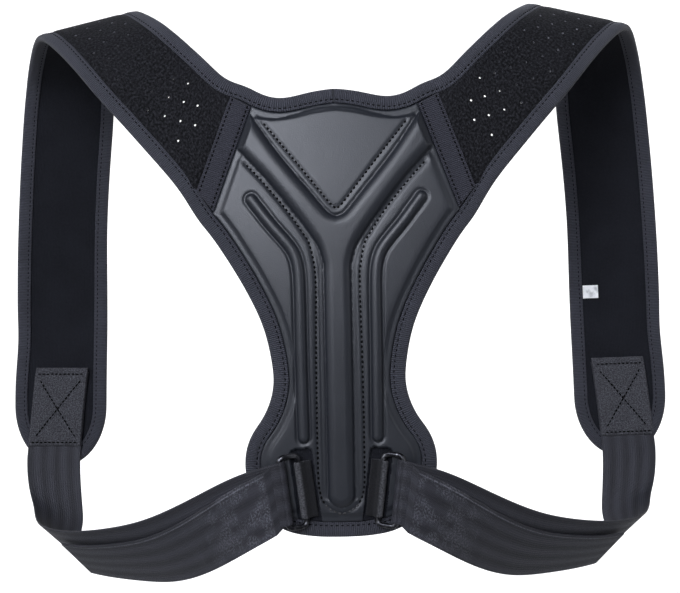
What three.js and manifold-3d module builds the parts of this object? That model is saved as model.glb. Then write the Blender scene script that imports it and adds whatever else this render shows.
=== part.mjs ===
// Posture corrector in its worn form: a moulded back panel, two padded shoulder straps that arch over the
// shoulders, and two webbing straps that run under the arms to wire rings on the panel.
// Millimetres, +Z up. The wearer faces +Y. The origin is the middle of the panel's skin side.
// Every left piece is the right one mirrored across x = 0.
import * as THREE from "three";
import { mergeGeometries, mergeVertices } from "three/addons/utils/BufferGeometryUtils.js";
import Module from "manifold-3d";

const wasm = await Module();
wasm.setup();

// Back panel
const PANEL_RISE = 137; // origin up to the middle of the neck edge
const PANEL_DROP = 134; // origin down to the bottom edge
const PANEL_HALF_WIDTH = 83; // centre line out to the foot of the strap seam
const UPPER_LEAN = 12; // how far the neck edge leans towards the wearer
const LOWER_LEAN = 3; // how far the bottom edge leans towards the wearer
const SIDE_WRAP = 4; // how far the seam foot bends round the wearer
const BACKING_THICKNESS = 2.6;
const COVER_THICKNESS = 2.2;
const BEND_STEP = 36; // the bend is straight between lines this far apart

// Moulded relief of the cover
const RIDGE_WIDTH = 16;
const RIDGE_HEIGHT = 4.2;
const RIB_WIDTH = 7;
const RIB_HEIGHT = 2.2;
const RELIEF_ROOT = 0.6; // how deep a raised form is joined into the cover
const COVER_CHAMFER = 1.1;
const FREE_END = 0.45; // size of a raised form at its free end, as a share of its full size

// Edge binding and seam tape
const BINDING_WIDTH = 9.4; // from the finished edge inwards
const BINDING_THICKNESS = 0.8;
const TAPE_WIDTH = 14;
const TAPE_THICKNESS = 0.8;
const TAPE_LIFT = 0.7; // off the cloth on both sides of the seam
const TAPE_END_CLEARANCE = 1.6; // from the tape's ends to the bindings

// Shoulder straps
const STRAP_WIDTH = 66;
const STRAP_THICKNESS = 4;
const STRAP_REACH = 202; // centre line out to the middle of a strap in front
const SHOULDER_RISE = 192; // origin up to the top of the arch
const WORN_DEPTH = 150; // skin side of the panel to the skin side of the straps in front
const FRONT_DROP = 108; // origin down to the rounded end of a strap
const END_ROUND = 43; // length of the rounded end
const SEAM_REACH = 34; // how far along the strap its surface still follows the bent seam
const PAD_SHOULDER = 2.6; // width of the slope between the thin edge and the padded middle
const STRAP_SAMPLES = 20; // points between each two rows, for measuring along the strap
const BODY_STEPS = 20; // sections between the seam and the rounded end
const END_ANGLES = [16, 32, 46, 59, 71, 82]; // degrees round the end, one section at each

// Perforations
const HOLE_RADIUS = 0.75;
const HOLE_PITCH = 11;
const HOLE_LATTICE_TURN = 27; // degrees between the rows of holes and the strap
const HOLE_MARGIN = 15; // from the finished edge to the nearest hole
const HOLE_SIDES = 4;
const HOLES_START = 24; // along the strap from the seam
const HOLES_LENGTH = 150;

// Webbing, patches and label
const WEB_WIDTH = 38;
const WEB_THICKNESS = 1.5;
const WEB_SAG = 56; // how far the webbing hangs below the ring
const WEB_TAIL_SHIFT = 13; // how far the returning layer slips down across the first one
const WEB_START = 3; // from the patch's upper edge down to the end of the webbing under it
const WEB_LEAVES = 6; // from the rounded end up to where the webbing leaves the strap
const WEB_SLANT = 0.09; // sideways run of the webbing and patch for each unit down the strap
const WEB_OFF_CENTRE = 1.1; // middle of the patch to the strap's centre line
const WEB_STEPS = 3; // sections between each two rows
const WRAP_STEPS = 8; // sections round the ring's bar
const WEB_LAYER_GAP = 0.45; // between the layers of soft pieces that lie on each other
const PATCH_WIDTH = 37;
const PATCH_LENGTH = 56;
const PATCH_THICKNESS = 1;
const PATCH_END = 15; // from the rounded end up to the patch's lower edge
const LABEL_WIDTH = 11;
const LABEL_HEIGHT = 9.5;
const LABEL_THICKNESS = 0.4;
const LABEL_LIFT = 0.8; // off the strap's lining
const LABEL_FROM_END = 119; // from the rounded end up to the label's middle

// Rings and their tabs
const RING_WIRE = 3.2; // diameter
const RING_BAR_DISTANCE = 12; // between the middles of the two long bars
const RING_CORNER = 3.5; // bend radius of the wire's corners
const RING_SIDES = 6; // facets round the wire
const RING_CORNER_STEPS = 3;
const RING_PLAY = 1.6; // spare height between the webbing and the ends of the ring
const RING_LEAN = 83; // degrees from horizontal to the long bars
const RING_TILT = 16; // degrees that the outer bar stands off the panel
const RING_ACROSS = 23.2; // centre line out to the inner bar
const RING_BELOW = 104.6; // origin down to the middle of the ring
const TAB_WIDTH = 34; // along the bar
const TAB_THICKNESS = 1.2;
const TAB_TAIL = 7; // from the middle of the bar to the end of the tail
const TAB_WAIST = 3.9; // from the middle of the bar to where the two layers meet
const TAB_STEPS = 8; // facets round the outside of the fold
const TAB_BORE_STEPS = 12;
const RECESS_MARGIN = 1.6; // cover to the ring all round, in the recess
const RECESS_CORNER = 3;

const GAP = 0.3; // between neighbouring pieces

const EDGE = BINDING_THICKNESS + GAP; // from the finished edge to the edge of the cloth inside the binding
const COVER_BASE = BACKING_THICKNESS + GAP; // skin side out to the back of the cover
const COVER_FACE = COVER_BASE + COVER_THICKNESS;
const COVER_INSET = BINDING_WIDTH + GAP;

// Half outline of the panel's finished edge. across is a share of PANEL_HALF_WIDTH, and height one of
// PANEL_RISE above the origin and of PANEL_DROP below it.
const NECKLINE = [
  { across: 0.0, height: 1.0 },
  { across: 0.16, height: 0.987 },
  { across: 0.365, height: 0.961 },
  { across: 0.5, height: 0.973 },
  { across: 0.64, height: 1.018 },
];
const FLANK = [
  { across: 1.0, height: 0.419 },
  { across: 0.87, height: 0.316 },
  { across: 0.675, height: 0.122 },
  { across: 0.54, height: -0.06 },
  { across: 0.479, height: -0.252 },
  { across: 0.492, height: -0.36 },
  { across: 0.552, height: -0.452 },
  { across: 0.643, height: -0.535 },
  { across: 0.69, height: -0.62 },
  { across: 0.69, height: -0.715 },
  { across: 0.645, height: -0.825 },
  { across: 0.53, height: -0.92 },
  { across: 0.38, height: -0.975 },
  { across: 0.19, height: -0.996 },
  { across: 0.0, height: -1.0 },
];

// Centre lines of the raised forms, in shares of the same sizes.
const RIDGE_ARM = [
  { across: 0.6, height: 0.765 },
  { across: 0.44, height: 0.632 },
  { across: 0.27, height: 0.508 },
  { across: 0.13, height: 0.402 },
  { across: 0.05, height: 0.315 },
];
const RIDGE_STEM = [
  { across: 0.0, height: 0.4 },
  { across: 0.0, height: 0.2 },
  { across: 0.0, height: -0.8 },
  { across: 0.0, height: -0.862 },
];
const RIB_LINE = [
  { across: 0.625, height: 0.519 },
  { across: 0.6, height: 0.49 },
  { across: 0.36, height: 0.311 },
  { across: 0.29, height: 0.234 },
  { across: 0.273, height: 0.158 },
  { across: 0.266, height: -0.5 },
  { across: 0.264, height: -0.553 },
];

// Section of a raised form, in shares of its width and height.
const RELIEF_SECTION = [
  { across: -0.5, up: 0 },
  { across: -0.38, up: 0.72 },
  { across: 0, up: 1 },
  { across: 0.38, up: 0.72 },
  { across: 0.5, up: 0 },
];

// Shoulder strap from the seam to the rounded end. across runs from the middle of the seam, 0, to
// STRAP_REACH, 1. depth runs from the seam's own depth, 0, to WORN_DEPTH, 1. height runs from the seam, 0,
// up to SHOULDER_RISE, 1, and below zero as far down as FRONT_DROP, -1. lean and yaw are degrees, and width
// is a share of STRAP_WIDTH.
const STRAP_ROWS = [
  { across: 0.11, depth: 0.022, height: 0.16, lean: -64, yaw: -4, width: 1.09 },
  { across: 0.262, depth: 0.06, height: 0.4, lean: -50.5, yaw: -3, width: 0.985 },
  { across: 0.404, depth: 0.11, height: 0.615, lean: -38, yaw: -2, width: 0.95 },
  { across: 0.497, depth: 0.177, height: 0.755, lean: -28.6, yaw: -2, width: 0.94 },
  { across: 0.588, depth: 0.275, height: 0.875, lean: -20.8, yaw: -3, width: 0.95 },
  { across: 0.676, depth: 0.4, height: 0.968, lean: -15, yaw: -4, width: 0.985 },
  { across: 0.76, depth: 0.585, height: 0.99, lean: -13.9, yaw: -6, width: 0.985 },
  { across: 0.842, depth: 0.774, height: 0.864, lean: -11, yaw: -8, width: 0.96 },
  { across: 0.896, depth: 0.91, height: 0.675, lean: -5.8, yaw: -12, width: 0.95 },
  { across: 0.929, depth: 0.98, height: 0.386, lean: 0, yaw: -18, width: 0.965 },
  { across: 0.957, depth: 1.0, height: -0.016, lean: 1.1, yaw: -21, width: 0.965 },
  { across: 0.973, depth: 1.0, height: -0.207, lean: 1.1, yaw: -21, width: 0.965 },
  { across: 0.983, depth: 1.0, height: -0.421, lean: 1.1, yaw: -12, width: 0.965 },
  { across: 0.987, depth: 0.993, height: -0.561, lean: 1.1, yaw: -3, width: 0.97 },
  { across: 0.998, depth: 0.979, height: -0.719, lean: 1.1, yaw: 0, width: 1.0 },
  { across: 1.0, depth: 0.964, height: -0.874, lean: 1.1, yaw: 0, width: 1.0 },
  { across: 1.0, depth: 0.95, height: -1.0, lean: 1.1, yaw: 0, width: 1.0 },
];

// Webbing between the strap's end and the ring. across and depth run from the ring's outer bar, 0, to the
// strap's rounded end, 1. sag is a share of WEB_SAG below the line between them.
const WEB_ROWS = [
  { across: 1.0, depth: 0.995, sag: 0.2, lean: 3.2, yaw: 0 },
  { across: 0.986, depth: 0.972, sag: 0.5, lean: 12.7, yaw: -1.4 },
  { across: 0.958, depth: 0.924, sag: 0.7, lean: 27.7, yaw: -13 },
  { across: 0.953, depth: 0.842, sag: 0.86, lean: 49, yaw: -31 },
  { across: 0.907, depth: 0.742, sag: 0.895, lean: 58, yaw: -39 },
  { across: 0.808, depth: 0.65, sag: 0.915, lean: 60.5, yaw: -39 },
  { across: 0.697, depth: 0.55, sag: 0.885, lean: 61, yaw: -34 },
  { across: 0.554, depth: 0.424, sag: 0.8, lean: 62.5, yaw: -25 },
  { across: 0.431, depth: 0.304, sag: 0.667, lean: 66, yaw: -18 },
  { across: 0.286, depth: 0.152, sag: 0.43, lean: 69.5, yaw: -9 },
  { across: 0.133, depth: 0.018, sag: 0.145, lean: 73, yaw: -2 },
];

// Where the returning layer of webbing lies over the first one: steps back from the ring along the rows
// above, slip as a share of WEB_TAIL_SHIFT, and lift as a share of the stack at the ring.
const TAIL_ROWS = [
  { back: 0.35, slip: 0.16, lift: 0.8 },
  { back: 0.8, slip: 0.32, lift: 0.42 },
  { back: 1.5, slip: 0.5, lift: 0.05 },
  { back: 2.5, slip: 0.7, lift: 0 },
  { back: 3.5, slip: 0.85, lift: 0 },
  { back: 4.5, slip: 0.95, lift: 0 },
  { back: 5.5, slip: 1.0, lift: 0 },
  { back: 6.5, slip: 1.0, lift: 0 },
];

const radians = THREE.MathUtils.degToRad;
const degrees = THREE.MathUtils.radToDeg;
const vector = (x, y, z) => new THREE.Vector3(x, y, z);

// Value between equally spaced rows by the Catmull-Rom rule, running straight on past both ends.
function between(values, t) {
  const last = values.length - 1;
  const i = Math.min(Math.max(Math.floor(t), 0), last - 1);
  const u = t - i;
  const b = values[i];
  const c = values[i + 1];
  const a = i > 0 ? values[i - 1] : 2 * b - c;
  const d = i + 1 < last ? values[i + 2] : 2 * c - b;
  return b + 0.5 * u * (c - a + u * (2 * a - 5 * b + 4 * c - d + u * (3 * (b - c) + d - a)));
}

// Bend of the panel towards the wearer: parabolas in height and width, made of short straight steps.
function stepped(value, curve) {
  const low = Math.floor(value / BEND_STEP) * BEND_STEP;
  return THREE.MathUtils.lerp(curve(low), curve(low + BEND_STEP), (value - low) / BEND_STEP);
}

function bend(x, z) {
  const lean = (h) => (h > 0 ? UPPER_LEAN * (h / PANEL_RISE) ** 2 : LOWER_LEAN * (h / PANEL_DROP) ** 2);
  const wrap = (w) => SIDE_WRAP * (w / PANEL_HALF_WIDTH) ** 2;
  return stepped(z, lean) + stepped(x, wrap);
}

// Outward normal of the bent panel.
function panelNormal(x, z) {
  const slopeX = (2 * SIDE_WRAP * x) / PANEL_HALF_WIDTH ** 2;
  const slopeZ = z > 0 ? (2 * UPPER_LEAN * z) / PANEL_RISE ** 2 : (2 * LOWER_LEAN * z) / PANEL_DROP ** 2;
  return vector(slopeX, -1, slopeZ).normalize();
}

// Points in millimetres from rows of shares, as [x, z].
function placed(rows) {
  return rows.map(({ across, height }) => [
    across * PANEL_HALF_WIDTH,
    height * (height > 0 ? PANEL_RISE : PANEL_DROP),
  ]);
}

// A smooth line through points, with the given number of steps between each two.
function smoothLine(points, steps) {
  const line = [];
  const count = (points.length - 1) * steps;
  for (let k = 0; k <= count; k++) {
    const t = k / steps;
    line.push([0, 1].map((axis) => between(points.map((p) => p[axis]), t)));
  }
  return line;
}

// The line moved sideways by a distance, to the right of its direction.
function offsetLine(line, distance) {
  return line.map(([x, z], k) => {
    const [x0, z0] = line[Math.max(k - 1, 0)];
    const [x1, z1] = line[Math.min(k + 1, line.length - 1)];
    const length = Math.hypot(x1 - x0, z1 - z0);
    return [x + ((z1 - z0) * distance) / length, z - ((x1 - x0) * distance) / length];
  });
}

// Cuts the end of the first line and the start of the second where they cross, and chains them.
function chained(first, second) {
  for (let i = first.length - 2; i >= 0; i--) {
    for (let j = 0; j < second.length - 1; j++) {
      const [ax, az] = first[i];
      const [bx, bz] = first[i + 1];
      const [cx, cz] = second[j];
      const [dx, dz] = second[j + 1];
      const cross = (bx - ax) * (dz - cz) - (bz - az) * (dx - cx);
      const s = ((cx - ax) * (dz - cz) - (cz - az) * (dx - cx)) / cross;
      const t = ((cx - ax) * (bz - az) - (cz - az) * (bx - ax)) / cross;
      if (s >= 0 && s <= 1 && t >= 0 && t <= 1) {
        const meeting = [ax + s * (bx - ax), az + s * (bz - az)];
        return [...first.slice(0, i + 1), meeting, ...second.slice(j + 1)];
      }
    }
  }
  return [...first, ...second];
}

const neckEdge = smoothLine(placed(NECKLINE), 2);
const flankEdge = placed(FLANK);
const seamTop = neckEdge[neckEdge.length - 1];
const seamFoot = flankEdge[0];
const seamLength = Math.hypot(seamFoot[0] - seamTop[0], seamFoot[1] - seamTop[1]);
const seamLean = degrees(Math.atan2(seamFoot[1] - seamTop[1], seamFoot[0] - seamTop[0]));
const seamRise = bend(...seamFoot) - bend(...seamTop);

// Half outline drawn in from the finished edge by one distance and from the seam by another.
function halfOutline(edgeInset, seamInset) {
  const reach = 2 * (edgeInset + seamInset) + BINDING_WIDTH;
  const along = [(seamFoot[0] - seamTop[0]) / seamLength, (seamFoot[1] - seamTop[1]) / seamLength];
  const seam = [
    [seamTop[0] - along[0] * reach, seamTop[1] - along[1] * reach],
    [seamFoot[0] + along[0] * reach, seamFoot[1] + along[1] * reach],
  ];
  const neck = [...neckEdge, beyond(neckEdge[neckEdge.length - 2], seamTop, reach)];
  const flank = [beyond(flankEdge[1], seamFoot, reach), ...flankEdge];
  const upper = chained(offsetLine(neck, edgeInset), offsetLine(seam, seamInset));
  return chained(upper, offsetLine(flank, edgeInset));
}

// The point past the second one, straight on from the first.
function beyond(from, to, distance) {
  const length = Math.hypot(to[0] - from[0], to[1] - from[1]);
  return [0, 1].map((axis) => to[axis] + ((to[axis] - from[axis]) * distance) / length);
}

// The whole outline from its right half, which starts and ends on the centre line.
function wholeOutline(half) {
  const inner = half.slice(1, -1);
  const mirror = inner.map(([x, z]) => [-x, z]).reverse();
  return [[0, half[0][1]], ...inner, [0, half[half.length - 1][1]], ...mirror];
}

// Geometry as a solid that can be joined and cut, turned outside out where it needs that.
function solid(geometry) {
  const bare = geometry.clone();
  bare.deleteAttribute("normal");
  bare.deleteAttribute("uv");
  const merged = mergeVertices(bare, 1e-4);
  const vertProperties = merged.attributes.position.array;
  const triVerts = new Uint32Array(merged.index.array);
  const made = new wasm.Manifold(new wasm.Mesh({ numProp: 3, vertProperties, triVerts }));
  if (made.volume() > 0) {
    return made;
  }
  return new wasm.Manifold(new wasm.Mesh({ numProp: 3, vertProperties, triVerts: triVerts.reverse() }));
}

function geometryOf(manifold) {
  const mesh = manifold.getMesh();
  const geometry = new THREE.BufferGeometry();
  geometry.setAttribute("position", new THREE.Float32BufferAttribute(mesh.vertProperties, 3));
  geometry.setIndex(new THREE.Uint32BufferAttribute(mesh.triVerts, 1));
  return geometry;
}

// A flat plate with the given outline, from one depth to another on the outer side, chamfered if asked.
function plate(outline, inner, outer, chamfer = 0) {
  const shape = new THREE.Shape(outline.map(([x, z]) => new THREE.Vector2(x, z)));
  const geometry = new THREE.ExtrudeGeometry(shape, {
    depth: outer - inner - chamfer,
    bevelEnabled: false,
    steps: 1,
  });
  geometry.rotateX(Math.PI / 2);
  geometry.translate(0, -inner, 0);
  if (chamfer === 0) {
    return solid(geometry);
  }
  const rim = ringed(outline, outer - chamfer);
  const top = ringed(offsetLoop(outline, chamfer), outer);
  const skirt = loft([rim, top], outline);
  return solid(geometry).add(solid(skirt));
}

function ringed(outline, depth) {
  return outline.map(([x, z]) => vector(x, -depth, z));
}

// A closed outline moved inwards, for one that runs clockwise.
function offsetLoop(outline, distance) {
  const count = outline.length;
  return outline.map(([x, z], k) => {
    const [x0, z0] = outline[(k + count - 1) % count];
    const [x1, z1] = outline[(k + 1) % count];
    const length = Math.hypot(x1 - x0, z1 - z0);
    return [x + ((z1 - z0) * distance) / length, z - ((x1 - x0) * distance) / length];
  });
}

// Skin through rings of equally many points. It is closed at both ends by the given flat section. With
// no section it joins back to the first ring, or stays open at both ends.
function loft(rings, section, open = false) {
  const size = rings[0].length;
  const faces = [];
  const spans = section || open ? rings.length - 1 : rings.length;
  for (let i = 0; i < spans; i++) {
    const here = i * size;
    const next = ((i + 1) % rings.length) * size;
    for (let j = 0; j < size; j++) {
      const k = (j + 1) % size;
      faces.push(here + j, next + j, next + k, here + j, next + k, here + k);
    }
  }
  if (section) {
    const flat = section.map(([a, b]) => new THREE.Vector2(a, b));
    const end = (rings.length - 1) * size;
    const turned = THREE.ShapeUtils.isClockWise(flat);
    for (const [a, b, c] of THREE.ShapeUtils.triangulateShape(flat, [])) {
      const [p, q, r] = turned ? [a, c, b] : [a, b, c];
      faces.push(p, q, r, end + p, end + r, end + q);
    }
  }
  const geometry = new THREE.BufferGeometry();
  const points = rings.flat().flatMap((p) => p.toArray());
  geometry.setAttribute("position", new THREE.Float32BufferAttribute(points, 3));
  geometry.setIndex(faces);
  return geometry;
}

// Cuts a polygon into the parts below and above a level on one axis.
function divided(polygon, axis, level) {
  const below = [];
  const above = [];
  polygon.forEach((p, i) => {
    const q = polygon[(i + 1) % polygon.length];
    const dp = p[axis] - level;
    const dq = q[axis] - level;
    if (dp <= 0) {
      below.push(p);
    }
    if (dp >= 0) {
      above.push(p);
    }
    if (dp * dq < 0) {
      const [low, high] = dp < dq ? [p, q] : [q, p];
      const share = (level - low[axis]) / (high[axis] - low[axis]);
      const cut = low.map((value, n) => (n === axis ? level : value + share * (high[n] - value)));
      below.push(cut);
      above.push(cut);
    }
  });
  return [below, above];
}

function fanned(polygon) {
  return polygon.slice(2).map((p, i) => [polygon[0], polygon[i + 1], p]);
}

// Triangles cut wherever they cross one of the bend's lines on an axis.
function sliced(triangles, axis) {
  const out = [];
  for (const triangle of triangles) {
    const values = triangle.map((p) => p[axis]);
    const first = Math.floor(Math.min(...values) / BEND_STEP) + 1;
    const last = Math.ceil(Math.max(...values) / BEND_STEP) - 1;
    let rest = triangle;
    for (let k = first; k <= last; k++) {
      const [below, above] = divided(rest, axis, k * BEND_STEP);
      out.push(...fanned(below));
      rest = above;
    }
    out.push(...fanned(rest));
  }
  return out;
}

// A flat panel piece bent to the panel's form.
function bent(manifold) {
  const mesh = manifold.getMesh();
  const corner = (v) => Array.from(mesh.vertProperties.slice(3 * v, 3 * v + 3));
  const triangles = [];
  for (let i = 0; i < mesh.triVerts.length; i += 3) {
    triangles.push([0, 1, 2].map((n) => corner(mesh.triVerts[i + n])));
  }
  const points = sliced(sliced(triangles, 0), 2).flat();
  const geometry = new THREE.BufferGeometry();
  const bentPoints = points.flatMap(([x, y, z]) => [x, y + bend(x, z), z]);
  geometry.setAttribute("position", new THREE.Float32BufferAttribute(bentPoints, 3));
  return geometryOf(solid(geometry));
}

// The other side's copy of a piece.
function mirrored(geometry) {
  const copy = geometry.clone().scale(-1, 1, 1);
  const index = copy.index.array;
  for (let i = 0; i < index.length; i += 3) {
    [index[i], index[i + 1]] = [index[i + 1], index[i]];
  }
  return copy;
}

// Strap and webbing frames: centre, direction across from the neck or lower edge to the arm or upper edge,
// and outward normal, from columns of x, y, z, lean, yaw and width.
function acrossVector(lean, yaw) {
  const flat = Math.cos(radians(yaw));
  return vector(Math.cos(radians(lean)) * flat, Math.sin(radians(yaw)), Math.sin(radians(lean)) * flat);
}

function frameAt(rows, t) {
  const value = (key, at) => between(rows.map((row) => row[key]), at);
  const centre = (at) => vector(value("x", at), value("y", at), value("z", at));
  const nudge = 0.02;
  const along = centre(t + nudge).sub(centre(t - nudge)).normalize();
  const across = acrossVector(value("lean", t), value("yaw", t));
  const outward = across.clone().cross(along).normalize();
  const oblique = 1 / Math.sqrt(1 - across.dot(along) ** 2);
  return { centre: centre(t), across, outward, oblique, width: value("width", t) };
}

function offsetPoint(frame, across, outward) {
  const point = frame.centre.clone();
  point.addScaledVector(frame.across, across).addScaledVector(frame.outward, outward);
  if (frame.settled) {
    point.y += frame.settled * seamBow(across / frame.width + 0.5);
  }
  return point;
}

// Height of the bent seam over the straight line between its ends, at a share of its length.
function seamBow(share) {
  const x = THREE.MathUtils.lerp(seamTop[0], seamFoot[0], share);
  const z = THREE.MathUtils.lerp(seamTop[1], seamFoot[1], share);
  return bend(x, z) - THREE.MathUtils.lerp(bend(...seamTop), bend(...seamFoot), share);
}

// Shoulder strap rows in millimetres
const seamMiddle = [(seamTop[0] + seamFoot[0]) / 2, (seamTop[1] + seamFoot[1]) / 2];
const seamDepth = (bend(...seamTop) + bend(...seamFoot)) / 2;
const strapRows = [
  {
    x: seamMiddle[0],
    y: seamDepth,
    z: seamMiddle[1],
    lean: seamLean,
    yaw: degrees(Math.atan2(seamRise, seamLength)),
    width: Math.hypot(seamLength, seamRise),
  },
  ...STRAP_ROWS.map(({ across, depth, height, lean, yaw, width }) => ({
    x: THREE.MathUtils.lerp(seamMiddle[0], STRAP_REACH, across),
    y: THREE.MathUtils.lerp(seamDepth, WORN_DEPTH, depth),
    z: height > 0
      ? THREE.MathUtils.lerp(seamMiddle[1], SHOULDER_RISE, height)
      : THREE.MathUtils.lerp(seamMiddle[1], -FRONT_DROP, -height),
    lean,
    yaw,
    width: width * STRAP_WIDTH,
  })),
];

// Length along the strap at each of many small steps, to turn a distance into a row number.
const strapLengths = [0];
for (let k = 1; k <= (strapRows.length - 1) * STRAP_SAMPLES; k++) {
  const step = frameAt(strapRows, k / STRAP_SAMPLES).centre;
  const before = frameAt(strapRows, (k - 1) / STRAP_SAMPLES).centre;
  strapLengths.push(strapLengths[k - 1] + step.distanceTo(before));
}
const strapLength = strapLengths[strapLengths.length - 1];

function strapRowAt(distance) {
  const k = strapLengths.findIndex((length) => length >= distance);
  if (k <= 0) {
    return k < 0 ? strapRows.length - 1 : 0;
  }
  const share = (distance - strapLengths[k - 1]) / (strapLengths[k] - strapLengths[k - 1]);
  return (k - 1 + share) / STRAP_SAMPLES;
}

// Finished strap width at a distance, with the elliptic end, and how far the strap still follows the seam.
function strapFrame(distance) {
  const frame = frameAt(strapRows, strapRowAt(distance));
  frame.settled = Math.max(1 - distance / SEAM_REACH, 0);
  const past = Math.max(distance - (strapLength - END_ROUND), 0) / END_ROUND;
  frame.width *= Math.sqrt(1 - Math.min(past, 1) ** 2);
  return frame;
}

// Stations where the strap's sections stand: close together at the seam and round the end.
const seamZone = TAPE_WIDTH / 2 + GAP;
const bodyEnd = strapLength - END_ROUND;
const strapStations = [GAP / 2, seamZone, seamZone + PAD_SHOULDER];
for (let k = 1; k <= BODY_STEPS; k++) {
  strapStations.push(THREE.MathUtils.lerp(seamZone + PAD_SHOULDER, bodyEnd - PAD_SHOULDER, k / BODY_STEPS));
}
strapStations.push(bodyEnd);
for (const angle of END_ANGLES) {
  strapStations.push(bodyEnd + END_ROUND * Math.sin(radians(angle)));
}

// The strap's own faceted surface between two stations, for what is seated on it.
function seatedFrame(distance) {
  const above = strapStations.findIndex((station) => station >= distance);
  const k = Math.max(above, 1);
  const share = (distance - strapStations[k - 1]) / (strapStations[k] - strapStations[k - 1]);
  const before = strapFrame(strapStations[k - 1]);
  const after = strapFrame(strapStations[k]);
  return {
    centre: before.centre.lerp(after.centre, share),
    across: before.across.lerp(after.across, share),
    outward: before.outward.lerp(after.outward, share),
    width: THREE.MathUtils.lerp(before.width, after.width, share),
    settled: 0,
  };
}

// Section of a strap: flat on the skin side, thin under the binding and padded in the middle.
function strapSection(frame, distance) {
  const half = frame.width / 2 - EDGE * frame.oblique;
  const flat = Math.min((BINDING_WIDTH - EDGE + GAP) * frame.oblique, half * 0.6);
  const slope = Math.min(flat + PAD_SHOULDER, half * 0.8);
  const rise = THREE.MathUtils.clamp((distance - seamZone) / PAD_SHOULDER, 0, 1);
  const fall = THREE.MathUtils.clamp((bodyEnd - distance) / PAD_SHOULDER, 0, 1);
  const pad = BACKING_THICKNESS + (STRAP_THICKNESS - BACKING_THICKNESS) * rise * fall;
  return [
    [-half, 0],
    [-half, BACKING_THICKNESS],
    [-half + flat, BACKING_THICKNESS],
    [-half + slope, pad],
    [half - slope, pad],
    [half - flat, BACKING_THICKNESS],
    [half, BACKING_THICKNESS],
    [half, 0],
    [half - flat, 0],
    [0, 0],
    [-half + flat, 0],
  ];
}

// A strip through stations, from a function that gives each station's frame and flat section.
function strip(stations, frameOf, sectionOf) {
  let section;
  const rings = stations.map((distance) => {
    const frame = frameOf(distance);
    section = sectionOf(frame, distance);
    return section.map(([across, outward]) => offsetPoint(frame, across, outward));
  });
  return loft(rings, section);
}

function strapGeometry() {
  return strip(strapStations, strapFrame, strapSection);
}

// Perforations: a square lattice turned against the strap, kept clear of the bindings.
function strapHoles() {
  const turn = radians(HOLE_LATTICE_TURN);
  const half = Math.ceil(HOLES_LENGTH / HOLE_PITCH);
  const holes = [];
  for (let i = -half; i <= half; i++) {
    for (let j = -half; j <= half; j++) {
      const along = (i * Math.cos(turn) - j * Math.sin(turn)) * HOLE_PITCH;
      const across = (i * Math.sin(turn) + j * Math.cos(turn)) * HOLE_PITCH;
      const distance = HOLES_START + HOLES_LENGTH / 2 + along;
      if (Math.abs(along) > HOLES_LENGTH / 2) {
        continue;
      }
      const frame = strapFrame(distance);
      if (Math.abs(across) < frame.width / 2 - HOLE_MARGIN) {
        holes.push({ frame, across });
      }
    }
  }
  return holes;
}

function holePrism({ frame, across }) {
  const side = frame.outward.clone().cross(frame.across).normalize();
  const section = [];
  for (let k = 0; k < HOLE_SIDES; k++) {
    const angle = (2 * Math.PI * k) / HOLE_SIDES;
    section.push([HOLE_RADIUS * Math.cos(angle), HOLE_RADIUS * Math.sin(angle)]);
  }
  const rings = [-1, STRAP_THICKNESS + 1].map((depth) =>
    section.map(([u, v]) => offsetPoint(frame, across + u, depth).addScaledVector(side, v)),
  );
  return solid(loft(rings, section));
}

function perforatedStrap() {
  let strap = solid(strapGeometry());
  for (const hole of strapHoles()) {
    strap = strap.subtract(holePrism(hole));
  }
  return geometryOf(strap);
}

// Half-round bar along a flat line on the cover, smaller at its free ends.
function raisedForm(line, width, height, free) {
  const last = line.length - 1;
  const rings = line.map(([x, z], k) => {
    const [x0, z0] = line[Math.max(k - 1, 0)];
    const [x1, z1] = line[Math.min(k + 1, last)];
    const length = Math.hypot(x1 - x0, z1 - z0);
    const scale = (k === 0 && free.start) || (k === last && free.end) ? FREE_END : 1;
    const ring = RELIEF_SECTION.map(({ across, up }) => {
      const side = across * width * scale;
      const lift = up * height * scale;
      return vector(x + ((z1 - z0) / length) * side, -COVER_FACE - lift, z - ((x1 - x0) / length) * side);
    });
    const roots = [ring[ring.length - 1], ring[0]].map((p) => p.clone().setY(-COVER_FACE + RELIEF_ROOT));
    return [...ring, ...roots];
  });
  const top = RELIEF_SECTION.map(({ across, up }) => [across, up]);
  const section = [...top, [0.5, -1], [-0.5, -1]];
  return solid(loft(rings, section));
}

// Ring: its directions up, across and out, and the middles of its two long bars
const ringSlope = (bend(0, BEND_STEP - RING_BELOW) - bend(0, -RING_BELOW)) / BEND_STEP;
const ringYaw = degrees(Math.atan(ringSlope));
const ringUp = acrossVector(RING_LEAN, ringYaw);
const ringSide = vector(ringUp.z, 0, -ringUp.x)
  .normalize()
  .multiplyScalar(Math.cos(radians(RING_TILT)))
  .add(vector(0, -Math.sin(radians(RING_TILT)), 0));
const ringOut = ringUp.clone().cross(ringSide).normalize();
const ringLift = BACKING_THICKNESS + GAP + TAB_THICKNESS + GAP + RING_WIRE / 2;
const innerBar = vector(RING_ACROSS, bend(RING_ACROSS, -RING_BELOW) - ringLift, -RING_BELOW);
const outerBar = innerBar.clone().addScaledVector(ringSide, RING_BAR_DISTANCE);
const ringHalfHeight = (WEB_WIDTH + RING_PLAY + RING_WIRE) / 2;

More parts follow.
